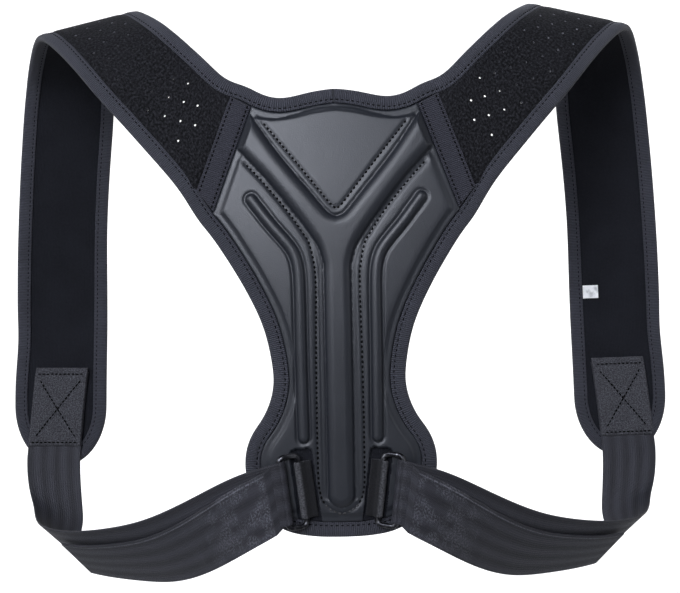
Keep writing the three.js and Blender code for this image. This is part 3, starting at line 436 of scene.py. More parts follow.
ring_up = across_way(ring_lean, ring_yaw)
ring_half_height = (WEB_WIDTH + RING_PLAY + RING_WIRE) / 2
UPPER_EDGE = {
    "across": [0.78, 0.58, 0.406, 0.193, 0.1, 0.05, 0],
    "height": [1.03, 0.852, 0.698, 0.538, 0.468, 0.436, 0.425],
}
LOWER_EDGE = {
    "across": [0.9, 0.69, 0.494, 0.347, 0.222, 0.139, 0.106, 0.096, 0.096, 0.096, 0.096],
    "height": [0.86, 0.72, 0.591, 0.478, 0.377, 0.299, 0.237, 0.201, 0.105, -0.375, -0.8],
}
WAVY_PITCH = 9
WAVY_EDGE = [0.91, 0.905, 0.89, 0.8715, 0.859, 0.8635, 0.872, 0.88]
RIB_LINE = {
    "across": [0.61, 0.48, 0.354, 0.305, 0.28, 0.272, 0.27, 0.264],
    "height": [0.505, 0.4, 0.309, 0.26, 0.2, 0.105, -0.2, -0.545],
}
V_STITCH = {"across": [0.518, 0.28, 0.06, 0.02, 0], "height": [0.842, 0.662, 0.492, 0.466, 0.462]}
LOW_STITCH = {
    "across": [0.648, 0.508, 0.346, 0.235, 0.2, 0.166, 0.157, 0.165, 0.167, 0.158, 0.1, 0],
    "height": [0.662, 0.568, 0.447, 0.346, 0.309, 0.215, 0.106, -0.2, -0.6, -0.784, -0.86, -0.892],
}


def distance_to(line, x, z):
    """Distance from grid points to a flat line: the least over its straight stretches."""
    best = np.full(x.shape, np.inf)
    for (ax, az), (bx, bz) in zip(line[:-1], line[1:]):
        run = (bx - ax) ** 2 + (bz - az) ** 2
        s = np.clip(((x - ax) * (bx - ax) + (z - az) * (bz - az)) / run, 0, 1)
        best = np.minimum(best, np.hypot(x - ax - s * (bx - ax), z - az - s * (bz - az)))
    return best


def height_of(line, x):
    """Height of a flat line over a place across, for a line that runs from the side to the middle."""
    order = np.argsort(line[:, 0])
    return np.interp(x, line[order, 0], line[order, 1])


def in_recess(side, z):
    """True in the cover's hole round a ring tab: a leaning rectangle with round corners."""
    a = (side - RING_ACROSS) * ring_up[2] - (z + RING_BELOW) * ring_up[0]
    b = (side - RING_ACROSS) * ring_up[0] + (z + RING_BELOW) * ring_up[2]
    middle = (RECESS_OUTWARD - RECESS_INWARD) / 2
    half = (RECESS_OUTWARD + RECESS_INWARD) / 2 - RECESS_CORNER
    tall = ring_half_height + RING_WIRE / 2 + RECESS_MARGIN - RECESS_CORNER
    past_a = np.clip(np.abs(a - middle) - half, 0, None)
    past_b = np.clip(np.abs(b) - tall, 0, None)
    return np.hypot(past_a, past_b) < RECESS_CORNER


def cover_relief(x, z, rim):
    """Height of the moulded surface over its flat base: the rim's step, domed fields, the Y ridge as a half
    round between its two edge lines, the ribs, the grooves beside them and the sewn channels."""
    side = np.abs(x)
    upper = shares_to_line(UPPER_EDGE, 4)
    lower = shares_to_line(LOWER_EDGE, 4)
    to_upper = distance_to(upper, side, z)
    to_lower = distance_to(lower, side, z)
    to_ridge = np.minimum(to_upper, to_lower)
    under_v = z < height_of(upper, side)
    in_arm = under_v & (z > height_of(lower[lower[:, 1] > FORK_FOOT], side))
    in_stem = (side < lower[-1, 0]) & under_v & (z > STEM_FOOT)
    below = z <= STEM_FOOT
    round_end = np.hypot(side, np.minimum(z - STEM_FOOT, 0))
    inside = in_arm | in_stem | (below & (round_end < lower[-1, 0]))
    away = np.where(inside, np.where(below, lower[-1, 0] - round_end, to_ridge), 0)
    on_arm = np.clip((z - FORK_FOOT) / FORK_BLEND, 0, 1)
    ridge = on_arm * rounded(away, ARM_ROUND) + (1 - on_arm) * STEM_SHARE * rounded(away, STEM_ROUND)
    ridge = np.minimum(RIDGE_HEIGHT * ridge, 0.15 + 0.8 * rim)
    from_rib, from_v, from_low = (
        distance_to(shares_to_line(line, 4), side, z) for line in (RIB_LINE, V_STITCH, LOW_STITCH)
    )
    rib = RIB_HEIGHT * np.sqrt(np.clip(1 - (from_rib / RIB_RADIUS) ** 2, 0, 1))
    groove = GROOVE_DEPTH * bell(from_rib - 1.25 * RIB_RADIUS, 0.8)
    channel = CHANNEL_DEPTH * (bell(from_v, 1.1) + bell(from_low, 1.2))
    valley = np.where(inside, 0, VALLEY_DEPTH * bell(to_ridge, 0.7))
    wavy = PANEL_RISE * between(WAVY_EDGE, side / WAVY_PITCH)
    from_v_edge = np.where(under_v, 0, np.minimum(to_upper, wavy - z))
    triangle = STEP_HEIGHT * rounded(np.clip(from_v_edge, 0, None), STEP_ROUND)
    from_edge = np.clip(np.minimum(rim, to_lower) - 3.2, 0, None)
    field = np.where(under_v & ~inside, DOME_HEIGHT * rounded(from_edge, 6), 0)
    flange = 0.5 * rounded(rim, 1.2) + 0.7 * rounded(np.clip(rim - FLANGE_WIDTH, 0, None), 1.6)
    smooth = COVER_THICKNESS - 1.2 + flange + triangle + field + ridge + rib
    moulded = np.clip(smooth - groove - channel - valley, THINNEST, None)
    return np.where(in_recess(side, z), RECESS_FLOOR, moulded)


def skin_finish():
    """Moulded synthetic skin: satin charcoal with a fine even grain, a little cloudy."""
    finish = Finish("moulded skin", Specular_IOR_Level=0.5)
    place = finish.place()
    grain = finish.cells(place, 0.0006)
    cloud = finish.noise(place, 0.03, 3)
    fine = finish.noise(place, 0.0025, 4)
    finish.paint((0.007, 0.008, 0.011), (0.014, 0.016, 0.021), cloud * 0.6 + fine * 0.4)
    finish.feed(Roughness=0.34 + cloud * 0.08 + fine * 0.08)
    finish.relief(grain * 0.5 + fine * 0.5, 0.00008)
    return finish.material


x, z = panel_grid(COVER_INSET, TAPE_WIDTH / 2 + GAP, *COVER_GRID)
flat = flat_grid(x, z)
edge_loop = np.concatenate([flat[0], flat[:, -1], flat[-1, ::-1], flat[::-1, 0]])
relief = cover_relief(x, z, distance_to(resampled(edge_loop, 160), x, z))
cover_sides = over_panel(x, z, COVER_BASE + relief), over_panel(x, z, COVER_BASE)
hole = in_recess(np.abs(x), z)[:-1, :-1]
cover = slab("moulded_skin_cover", *cover_sides, flat, [skin_finish(), lining_knit], hole)
fitted(cover, "moulded_cover")

# The shoulder straps: black loop cloth outside and knitted lining inside, over foam, with holes punched
# through all three. They are sewn to the panel's slanting sides, and arch over the shoulders to a rounded
# end in front.
STRAP_WIDTH = 66
STRAP_THICKNESS = 4
STRAP_REACH = 202
SHOULDER_RISE = 192
WORN_DEPTH = 150
FRONT_DROP = 108
END_ROUND = 43
SEAM_REACH = 34
ROW_STEP = 0.02
EDGE_SLOPE = 4
END_SLOPE = 6
HOLE_RADIUS = 0.75
HOLE_PITCH = 11
HOLE_TURN = math.radians(27)
HOLE_MARGIN = 15
HOLES_START = 24
HOLES_LENGTH = 150
PIN_SIDES = 12
PIN_SPARE = 2
HOLES_LEVEL = 62
HOLES_TURN = 20
LEVEL_WAY = np.array([-0.05, -1, -0.09])
STRAP_TABLE = {
    "across": [
        0.11, 0.262, 0.404, 0.497, 0.588, 0.676, 0.76, 0.842, 0.896, 0.929, 0.957, 0.973, 0.983, 0.987,
        0.998, 1, 1,
    ],
    "depth": [
        0.022, 0.06, 0.11, 0.177, 0.275, 0.4, 0.585, 0.774, 0.91, 0.98, 1, 1, 1, 0.993, 0.979, 0.964, 0.95,
    ],
    "height": [
        0.16, 0.4, 0.615, 0.755, 0.875, 0.968, 0.99, 0.864, 0.675, 0.386, -0.016, -0.207, -0.421, -0.561,
        -0.719, -0.874, -1,
    ],
    "lean": [-64, -50.5, -38, -28.6, -20.8, -15, -13.9, -11, -5.8, 0, 1.1, 1.1, 1.1, 1.1, 1.1, 1.1, 1.1],
    "yaw": [-4, -3, -2, -2, -3, -4, -6, -8, -12, -18, -21, -21, -12, -3, 0, 0, 0],
    "width": [
        1.09, 0.985, 0.95, 0.94, 0.95, 0.985, 0.985, 0.96, 0.95, 0.965, 0.965, 0.965, 0.965, 0.97, 1, 1, 1,
    ],
}
seam_run = SEAM_FOOT - SEAM_TOP
seam_depths = bend(*SEAM_TOP), bend(*SEAM_FOOT)
seam_middle = (SEAM_TOP + SEAM_FOOT) / 2
seam_depth = sum(seam_depths) / 2
seam_rise = seam_depths[1] - seam_depths[0]
seam_length = math.hypot(*seam_run)
seam_row = {
    "x": seam_middle[0],
    "y": seam_depth,
    "z": seam_middle[1],
    "lean": math.degrees(math.atan2(seam_run[1], seam_run[0])),
    "yaw": math.degrees(math.atan2(seam_rise, seam_length)),
    "width": math.hypot(seam_length, seam_rise),
}
table = {key: np.array(values, float) for key, values in STRAP_TABLE.items()}
goal = np.where(table["height"] > 0, SHOULDER_RISE, -FRONT_DROP)
strap_rows = {
    "x": seam_middle[0] + (STRAP_REACH - seam_middle[0]) * table["across"],
    "y": seam_depth + (WORN_DEPTH - seam_depth) * table["depth"],
    "z": seam_middle[1] + (goal - seam_middle[1]) * np.abs(table["height"]),
    "lean": table["lean"],
    "yaw": table["yaw"],
    "width": table["width"] * STRAP_WIDTH,
}
strap_rows = {key: np.concatenate([[seam_row[key]], strap_rows[key]]) for key in strap_rows}


def ribbon_frames(rows, t):
    """Centres, directions across and outward, and widths along a ribbon, at row numbers t. Across comes from
    the lean and yaw, and outward is across times the centre line's direction."""
    centre, ahead, behind = (
        np.stack([between(rows[key], at) for key in "xyz"], -1) for at in (t, t + ROW_STEP, t - ROW_STEP)
    )
    across = across_way(*(np.radians(between(rows[key], t)) for key in ("lean", "yaw")))
    along = unit(ahead - behind)
    return {
        "centre": centre,
        "across": across,
        "outward": unit(np.cross(across, along)),
        "oblique": 1 / np.sqrt(1 - np.sum(across * along, -1) ** 2),
        "width": between(rows["width"], t),
    }


fine_rows = np.linspace(0, len(strap_rows["x"]) - 1, 1600)
fine_line = ribbon_frames(strap_rows, fine_rows)["centre"]
fine_length = run_length(fine_line)
strap_length = fine_length[-1]
body_end = strap_length - END_ROUND


def strap_frames(distance):
    """Frames of a strap at distances from its seam. Near the end its width follows an ellipse, and near the
    seam its surface still follows the bent panel."""
    frames = ribbon_frames(strap_rows, np.interp(distance, fine_length, fine_rows))
    past = np.clip((distance - body_end) / END_ROUND, 0, 1)
    frames["width"] = frames["width"] * np.sqrt(1 - past**2)
    frames["settled"] = np.clip(1 - distance / SEAM_REACH, 0, None)
    return frames


def seam_bow(share):
    """Height of the bent seam over the straight line between its ends."""
    x = SEAM_TOP[0] + seam_run[0] * share
    z = SEAM_TOP[1] + seam_run[1] * share
    return bend(x, z) - (seam_depths[0] + seam_rise * share)


def on_strap(frames, across, outward):
    """Points of a strap, from distances across it and off its skin side, one row for each frame."""
    point = frames["centre"][:, None] + across[..., None] * frames["across"][:, None]
    point = point + np.asarray(outward)[..., None] * frames["outward"][:, None]
    share = across / np.maximum(frames["width"], 1e-6)[:, None] + 0.5
    point[..., 1] += frames["settled"][:, None] * seam_bow(np.clip(share, 0, 1))
    return point


def pair(name, make, node):
    """A piece fitted on the right, and its copy across the middle on the left, with faces turned back."""
    right = make(name + "_right")
    mesh = right.data.copy()
    co = np.zeros(len(mesh.vertices) * 3)
    mesh.vertices.foreach_get("co", co)
    co[0::3] *= -1
    mesh.vertices.foreach_set("co", co)
    mesh.flip_normals()
    left = in_scene(name + "_left", mesh)
    fitted(right, node + "_right")
    fitted(left, node + "_left")
    return right, left


def loop_finish():
    """Loop cloth: a matted pile of tiny loops, black, with soft lighter drifts where it is brushed."""
    finish = Finish("loop cloth", Roughness=0.95, Specular_IOR_Level=0.1, Sheen_Weight=0.03)
    both = finish.across_and_along()[0]
    loops = finish.cells(both, 0.0011)
    tufts = finish.noise(both, 0.0015, 4, 0.7)
    drift = finish.noise(both, 0.03, 3)
    brushed = tufts.above(0.38, 0.8) * 0.85 + drift * 0.15
    finish.paint((0.0005, 0.0005, 0.0006), (0.036, 0.036, 0.041), brushed)
    finish.relief(tufts * 0.8 + loops * 0.4, 0.0005)
    return finish.material


def strap_piece(name):
    """Padded strap: thin under the binding and full in the middle, with its rounded end."""
    ends = body_end + END_ROUND * np.sin(np.radians(np.linspace(2, 88, 34)))
    distance = np.concatenate([np.linspace(GAP / 2, body_end, 250), ends])
    frames = strap_frames(distance)
    half = np.maximum(frames["width"] / 2 - EDGE * frames["oblique"], 0.4)
    share = closing_in(46)
    across = half[:, None] * share
    from_side = half[:, None] * (1 - np.abs(share))
    from_end = np.clip(body_end - distance, 0, None)[:, None]
    from_seam = np.clip(distance - TAPE_WIDTH / 2 - GAP, 0, None)[:, None]
    inner_edge = np.clip(from_side - (BINDING_WIDTH - EDGE), 0, None)
    rise = rounded(inner_edge, EDGE_SLOPE) * rounded(from_seam, EDGE_SLOPE)
    rise = rise * rounded(from_end + 0.4 * inner_edge, END_SLOPE)
    thick = BACKING_THICKNESS + (STRAP_THICKNESS - BACKING_THICKNESS) * rise
    sides = on_strap(frames, across, thick), on_strap(frames, across, np.zeros_like(across))
    return slab(name, *sides, flat_grid(across, distance[:, None]), strap_cloths)


def hole_places():
    """Distances along and across the strap of the square lattice of holes, clear of the bindings."""
    reach = math.ceil(HOLES_LENGTH / HOLE_PITCH)
    i, j = np.mgrid[-reach : reach + 1, -reach : reach + 1] * HOLE_PITCH
    along = (i * math.cos(HOLE_TURN) - j * math.sin(HOLE_TURN)).ravel()
    across = (i * math.sin(HOLE_TURN) + j * math.cos(HOLE_TURN)).ravel()
    distance = HOLES_START + HOLES_LENGTH / 2 + along
    half = strap_frames(np.clip(distance, 0, strap_length))["width"] / 2
    kept = (np.abs(along) <= HOLES_LENGTH / 2) & (np.abs(across) < half - HOLE_MARGIN)
    return distance[kept], across[kept]


def punch_pins(name):
    """Round pins through every hole place, for cutting the holes: square to the strap, and level near the
    seam, where the thin foam lets the light straight through."""
    distance, across = hole_places()
    frames = strap_frames(distance)
    along = unit(np.cross(frames["outward"], frames["across"]))
    angle = np.linspace(0, 2 * math.pi, PIN_SIDES + 1)[:-1]
    middle = on_strap(frames, across[:, None], np.zeros((len(across), 1)))
    level = np.clip((HOLES_LEVEL - distance) / HOLES_TURN, 0, 1)[:, None]
    through = unit((1 - level) * frames["outward"] + level * LEVEL_WAY)[:, None]
    ring = np.cos(angle)[:, None] * frames["across"][:, None] + np.sin(angle)[:, None] * along[:, None]
    low = middle + HOLE_RADIUS * ring - PIN_SPARE * through
    high = low + (STRAP_THICKNESS + 2 * PIN_SPARE) * through
    points = np.stack([low, high], 1)
    index = numbered(*points.shape[:3])
    turn = np.roll(index, -1, 2)
    wall = np.stack([index[:, 0], turn[:, 0], turn[:, 1], index[:, 1]], -1).reshape(-1, 4)
    caps = np.concatenate([index[:, 0, ::-1], index[:, 1]])
    mesh = bpy.data.meshes.new(name)
    faces = wall.tolist() + caps.reshape(-1, PIN_SIDES).tolist()
    mesh.from_pydata((points.reshape(-1, 3) * MM).tolist(), [], faces)
    for finish in strap_cloths:
        mesh.materials.append(finish)
    mesh.polygons.foreach_set("material_index", np.full(len(mesh.polygons), 2, np.int32))
    mesh.update()
    return in_scene(name, mesh)


def perforated(name):
    """The strap with its holes cut through."""
    strap = strap_piece(name)
    pins = punch_pins("punch")
    cut = strap.modifiers.new("holes", "BOOLEAN")
    cut.operation = "DIFFERENCE"
    cut.solver = "EXACT"
    cut.object = pins
    settled = strap.evaluated_get(bpy.context.evaluated_depsgraph_get())
    mesh = bpy.data.meshes.new_from_object(settled)
    strap.modifiers.clear()
    strap.data = mesh
    bpy.data.objects.remove(pins)
    return strap


def foam_finish():
    """Bare foam, pale grey with fine pores, as it shows in the walls of the holes."""
    finish = Finish("bare foam", Roughness=0.9, Specular_IOR_Level=0.1)
    pores = finish.noise(finish.place(), 0.0004, 2)
    finish.paint((0.13, 0.13, 0.145), (0.24, 0.24, 0.26), pores)
    return finish.material


strap_cloths = [loop_finish(), lining_knit, foam_finish()]
for strap in pair("padded_strap", perforated, "shoulder_strap"):
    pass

# The edge binding: one ribbed tape folded over the whole edge, from the neck round each strap and along the
# bottom. It is sewn through with one row near its inner edge, so it puffs up a little over the fold.
BINDING_FOLD = 2.4
STITCH_INSET = 7.3
FOLD_STEPS = 9
STITCH_DENT = 0.35
PUFF = 0.3
EDGE_STEP = 1.8
EDGE_WEIGHTS = {-2: 1 / 9, -1: 2 / 9, 0: 3 / 9, 1: 2 / 9, 2: 1 / 9}
EDGE_THINNING = 0.45
SKIN_SIDE_SHARE = 0.6


def edge_path():
    """Finished edge from the top middle, round the right strap, to the bottom middle, and back on the left,
    with the outward normal at each point. The corners at the seam are smoothed by weighted averages."""
    ends = body_end + END_ROUND * np.sin(np.radians(np.linspace(0, 90, 40)))
    distance = np.concatenate([np.linspace(0, body_end, 240)[:-1], ends])
    frames = strap_frames(distance)
    half = frames["width"][:, None] / 2
    sides = [on_strap(frames, way * half, np.zeros_like(half))[:, 0] for way in (-1, 1)]
    neck, flank = NECK[:-1].T, SIDE[1:].T
    points = np.vstack([over_panel(*neck), sides[0][:-1], sides[1][::-1], over_panel(*flank)])
    outward = frames["outward"]
    normals = np.vstack([panel_normal(*neck), outward[:-1], outward[::-1], panel_normal(*flank)])
    length = run_length(points)
    at = np.linspace(0, length[-1], int(length[-1] / EDGE_STEP))
    both = read_at(at, length, np.hstack([points, normals]))
    mirror = both * [-1, 1, 1, -1, 1, 1]
    loop = np.vstack([both, mirror[-2:0:-1]])
    for _ in range(2):
        loop = sum(weight * np.roll(loop, shift, 0) for shift, weight in EDGE_WEIGHTS.items())
    return loop[:, :3], unit(loop[:, 3:])


def folded_section():
    """Section of the folded tape, from the skin side round the fold to the outer side and back inside. The
    outer leg bulges between the fold and the stitch row, where it is pulled down."""
    low, high = -EDGE, BACKING_THICKNESS + GAP + BINDING_THICKNESS
    reach = np.linspace(BINDING_WIDTH, BINDING_FOLD, 12)
    bulge = np.clip((reach - BINDING_FOLD) / (STITCH_INSET - BINDING_FOLD), 0, 1) * math.pi
    dent = STITCH_DENT * bell(reach - STITCH_INSET, 0.8) - PUFF * np.sin(bulge)
    edge = EDGE_THINNING * (1 - rounded(BINDING_WIDTH - reach, 0.7))
    turn = np.linspace(-math.pi / 2, math.pi / 2, FOLD_STEPS)[1:-1]
    middle = (low + high) / 2
    half = (high - low) / 2
    fold = np.stack([BINDING_FOLD * (1 - np.cos(turn)), middle + half * np.sin(turn)], 1)
    skin = np.stack([reach, low + edge + SKIN_SIDE_SHARE * dent], 1)
    outer = np.stack([reach, high - edge - dent], 1)[::-1]
    inside = np.array([
        [BINDING_WIDTH, high - BINDING_THICKNESS],
        [BINDING_FOLD, high - BINDING_THICKNESS],
        [1.0, middle],
        [BINDING_FOLD, low + BINDING_THICKNESS],
        [BINDING_WIDTH, low + BINDING_THICKNESS],
    ])
    return np.vstack([skin, fold, outer, inside])


def swept(name, rings, uv, finish):
    """Closed tube through rings of points that join back to the first, for a section that is closed too."""
    index = numbered(*rings.shape[:2])
    ahead = np.roll(index, -1, 0)
    faces = np.stack([index, ahead, np.roll(ahead, -1, 1), np.roll(index, -1, 1)], -1).reshape(-1, 4)
    return surface(name, rings, faces, uv, [finish])


def tape_finish(name, low, high):
    """Ribbed tape: fine ribs across it, each rib wound with thread, and fuzz along the ribs. The rib crests
    are painted lighter than the hollows, as painted light and shade.
    """
    finish = Finish(name, Roughness=0.7, Specular_IOR_Level=0.3, Sheen_Weight=0.03)
    both, across, along = finish.across_and_along()
    ribs = along.wave(0.00115)
    thread = across.wave(0.00045)
    fuzz = finish.noise(both, 0.0012, 4)
    shade = finish.noise(both, 0.02, 2)
    # painted light and shade: the rib crests are painted lighter and the hollows between them darker
    finish.paint(low, high, ribs * 0.4 + fuzz * 0.4 + shade * 0.2)
    finish.relief(ribs * 0.8 + thread * 0.2 + fuzz * 0.4, 0.0007)
    return finish.material


edge, edge_out = edge_path()
run = np.roll(edge, -1, 0) - np.roll(edge, 1, 0)
edge_in = unit(np.cross(unit(run), edge_out))
section = folded_section()
rings = edge[:, None] + section[:, :1] * edge_in[:, None] + section[:, 1:] * edge_out[:, None]
edge_length = np.cumsum(np.linalg.norm(edge - np.roll(edge, 1, 0), axis=1))
section_length = np.cumsum(np.linalg.norm(section - np.roll(section, 1, 0), axis=1))
uv = flat_grid(section_length, edge_length[:, None])
ribbed_tape = tape_finish("ribbed binding tape", (0.002, 0.002, 0.003), (0.088, 0.09, 0.112))
fitted(swept("folded_binding", rings, uv, ribbed_tape), "edge_binding")

# The seam tapes: flat woven tape laid over the join of each strap and the panel, sewn near both edges.
TAPE_THICKNESS = 0.8
TAPE_BASE = BACKING_THICKNESS + 0.7
TAPE_STITCH_INSET = 1.9
TAPE_CUT = 10.6


def tape_flat(share, steps):
    """Flat points of the tape, at distances across it and steps along it, and how far along they lie. Both
    ends are cut along the bindings."""
    run = seam_run / seam_length
    side = np.array([-run[1], run[0]])
    top_run, foot_run = unit(NECK[-1] - NECK[-2]), unit(SIDE[1] - SIDE[0])
    start = slant(top_run, run, side, share) + TAPE_CUT / abs(np.dot(top_run, side))
    end = seam_length + slant(foot_run, run, side, share) - TAPE_CUT / abs(np.dot(foot_run, side))
    at = start + (end - start) * np.linspace(0, 1, steps)[:, None]
    return SEAM_TOP + at[..., None] * run + share[None, :, None] * side, at


def tape_piece(name):
    """Flat tape along the seam on the bent panel, with soft edges."""
    share = closing_in(15) * TAPE_WIDTH / 2
    flat, at = tape_flat(share, 60)
    x, z = flat[..., 0], flat[..., 1]
    from_edge = TAPE_WIDTH / 2 - np.abs(share)
    sewn = 0.25 * bell(from_edge - TAPE_STITCH_INSET, 0.7)
    thick = TAPE_THICKNESS * (0.45 + 0.55 * rounded(from_edge, 1.1)) - sewn + 0.06 * np.sin(at / 3.1)
    sides = over_panel(x, z, TAPE_BASE + thick), over_panel(x, z, TAPE_BASE)
    return slab(name, *sides, flat_grid(share, at), [tape_cloth])


def slant(edge_run, run, side, share):
    """How far along the seam a slanting edge lies at distances to the side of it."""
    return share * np.dot(edge_run, run) / np.dot(edge_run, side)


tape_cloth = tape_finish("flat seam tape", (0.008, 0.008, 0.011), (0.06, 0.06, 0.078))
pair("flat_seam_tape", tape_piece, "seam_tape")

# The anchor patches: brushed cloth over the ends of the webbing, inside the rounded end of each strap. Each
# is folded under along its upper edge and sewn with a row across each end and a cross.
WEB_THICKNESS = 1.5
LAYER_GAP = 0.45
PATCH_WIDTH = 37
PATCH_LENGTH = 56
PATCH_THICKNESS = 1
PATCH_END = 15
WEB_SLANT = 0.09
WEB_OFF_CENTRE = 1.1
WEB_OFFSET = -EDGE - GAP - WEB_THICKNESS / 2
PATCH_OFFSET = -EDGE - GAP - WEB_THICKNESS - LAYER_GAP


def patch_frames(distance):
    """The strap's frames under the patch and webbing, which lie a little aslant on it."""
    frames = strap_frames(distance)
    shift = (PATCH_END + PATCH_LENGTH / 2 - (strap_length - distance)) * WEB_SLANT + WEB_OFF_CENTRE
    frames["centre"] = frames["centre"] + shift[:, None] * frames["across"]
    frames["settled"] = np.zeros_like(distance)
    return frames


def patch_finish():
    """Brushed cloth: grey nap with a coarse weave under it."""
    finish = Finish("brushed patch", Roughness=0.95, Specular_IOR_Level=0.12, Sheen_Weight=0.05)
    both, across, along = finish.across_and_along()
    weave = across.wave(0.0013) * along.wave(0.0013)
    nap = finish.noise(both, 0.0011, 5, 0.7)
    worn = finish.noise(both, 0.008, 3)
    finish.paint((0.006, 0.006, 0.007), (0.14, 0.14, 0.155), nap.above(0.3, 0.85) * 0.75 + worn * 0.2)
    finish.relief(weave * 0.4 + nap * 0.8, 0.0007)
    return finish.material


def patch_piece(name):
    """Oblong of cloth on the strap's skin side, rounded at its edges and thicker at the folded upper one."""
    start = strap_length - PATCH_END - PATCH_LENGTH
    along = np.linspace(0, PATCH_LENGTH, 60)
    frames = patch_frames(start + along)
    across = np.broadcast_to(closing_in(40) * PATCH_WIDTH / 2, (60, 40))
    from_end = np.minimum(along, PATCH_LENGTH - along)[:, None]
    from_edge = np.minimum(PATCH_WIDTH / 2 - np.abs(across), from_end)
    fold = 0.35 * bell(along - 2.5, 1.8)[:, None]
    ripple = 0.14 * np.sin(along / 2.6)[:, None] * np.sin(across / 4.2)
    thick = PATCH_THICKNESS * (0.35 + 0.65 * rounded(from_edge, 1.4)) + fold + ripple
    lower = np.full(across.shape, PATCH_OFFSET)
    sides = [on_strap(frames, across, height) for height in (lower - thick, lower)]
    return slab(name, *sides, flat_grid(across, along[:, None]), [patch_cloth])


patch_cloth = patch_finish()
pair("brushed_patch", patch_piece, "anchor_patch")

# The wire rings: black plated steel, bent into a rectangle with round corners. The tab holds the inner long
# side to the panel, and the webbing runs round the outer one.
RING_BAR_DISTANCE = 12
RING_CORNER = 3.5
RING_TILT = math.radians(16)
level_side = unit(np.array([ring_up[2], 0, -ring_up[0]]))
ring_side = level_side * math.cos(RING_TILT) + [0, -math.sin(RING_TILT), 0]
ring_out = unit(np.cross(ring_up, ring_side))
ring_lift = BACKING_THICKNESS + GAP + TAB_THICKNESS + GAP + RING_WIRE / 2
inner_bar = np.array([RING_ACROSS, float(bend(RING_ACROSS, -RING_BELOW)) - ring_lift, -RING_BELOW])
outer_bar = inner_bar + RING_BAR_DISTANCE * ring_side


def wire_finish():
    """Black plated wire, with a brighter base colour in random patches, which gives stronger glints there.
    """
    finish = Finish("black plated wire", Metallic=0.85, Specular_IOR_Level=0.6)
    place = finish.place()
    bright_patches = finish.noise(place, 0.004, 3)
    scratch = finish.noise(place, 0.0007, 4)
    finish.paint((0.02, 0.02, 0.023), (0.2, 0.2, 0.21), bright_patches.above(0.5, 0.75))
    finish.feed(Roughness=0.24 + scratch * 0.16)
    finish.relief(scratch, 0.00005)
    return finish.material


def ring_piece(name):
    """Round wire carried along a rectangle with round corners."""
    half = RING_BAR_DISTANCE / 2
    middle = inner_bar + half * ring_side
    turns = (np.linspace(0, math.pi / 2, 10) + np.arange(4)[:, None] * math.pi / 2).reshape(-1, 1)
    sign_side, sign_up = (np.repeat(signs, 10)[:, None] for signs in ([1, -1, -1, 1], [1, 1, -1, -1]))
    out = np.cos(turns) * ring_side + np.sin(turns) * ring_up
    straight_side, straight_up = half - RING_CORNER, ring_half_height - RING_CORNER
    corner = sign_side * straight_side * ring_side + sign_up * straight_up * ring_up
    path = middle + corner + RING_CORNER * out
    round_wire = np.linspace(0, 2 * math.pi, 17)[:-1]
    rings = path[:, None] + RING_WIRE / 2 * (
        np.cos(round_wire)[:, None] * out[:, None] + np.sin(round_wire)[:, None] * ring_out
    )
    return swept(name, rings, flat_grid(round_wire, np.arange(len(path))[:, None]), plated_wire)


plated_wire = wire_finish()
pair("wire_ring", ring_piece, "ring")

# The ring tabs: a short piece of grey woven tape folded round the ring's inner side, with both tails sewn
# down on the panel under the cover's hole.
TAB_WIDTH = 34
TAIL_START = 0.4
TAIL_CLOSING = 0.36


def tab_finish():
    """Woven tab tape: plain weave of light grey thread, brushed by use. The tail laid back past the roll,
    which dips into the cover's hole, is painted nearly black as painted shade.
    """
    finish = Finish("woven tab", Roughness=0.85, Specular_IOR_Level=0.2, Sheen_Weight=0.05)
    both, across, along = finish.across_and_along()
    weave = across.wave(0.0008) * 0.5 + along.wave(0.0008) * 0.5
    fuzz = finish.noise(both, 0.0012, 4, 0.7)
    # painted shade: the tail past the roll, which dips into the cover's hole, is painted nearly black
    outside_painted_shade = 1 - along.above(0.0145, 0.0175)
    nap = (fuzz.above(0.3, 0.8) * 0.8 + weave * 0.2) * (outside_painted_shade * 0.9 + 0.06)
    finish.paint((0.006, 0.006, 0.007), (0.15, 0.15, 0.16), nap)
    finish.relief(weave * 0.5 + fuzz * 0.6, 0.0005)
    return finish.material


def tab_piece(name):
    """Tape carried along its fold: from one tail, round the bar by half a turn, and back on the first."""
    inner = RING_WIRE / 2 + GAP
    middle = inner + TAB_THICKNESS / 2
    turn = np.linspace(-math.pi / 2, math.pi / 2, 16)
    bar = np.stack([middle * np.cos(turn), middle * np.sin(turn)], 1)
    tail = np.linspace(-TAB_TAIL, -TAIL_START, 8)
    under = np.stack([tail, np.full(8, -middle)], 1)
    drop = 2 * middle - TAB_THICKNESS - 0.1
    lower = middle - drop * np.clip((-tail - TAIL_START) / (TAB_TAIL * TAIL_CLOSING), 0, 1) ** 1.1
    over = np.stack([tail, lower], 1)[::-1]
    path = np.vstack([under, bar, over])
    run = unit(np.gradient(path, axis=0))
    thick_way = np.stack([run[:, 1], -run[:, 0]], 1)
    rise = np.linspace(-1, 1, 44)
    soft = 0.35 + 0.65 * rounded(TAB_WIDTH / 2 * (1 - np.abs(rise)), 1)

    def placed(offset):
        flat = path[:, None] + offset * soft[None, :, None] * thick_way[:, None]
        point = inner_bar + flat[..., :1] * level_side + flat[..., 1:] * [0, -1, 0]
        return point + (rise * TAB_WIDTH / 2)[None, :, None] * ring_up

    length = np.cumsum(np.linalg.norm(np.gradient(path, axis=0), axis=1))
    uv = flat_grid(rise * TAB_WIDTH / 2, length[:, None])
    return slab(name, placed(TAB_THICKNESS / 2), placed(-TAB_THICKNESS / 2), uv, [tab_cloth])


tab_cloth = tab_finish()
pair("folded_tab", tab_piece, "ring_tab")

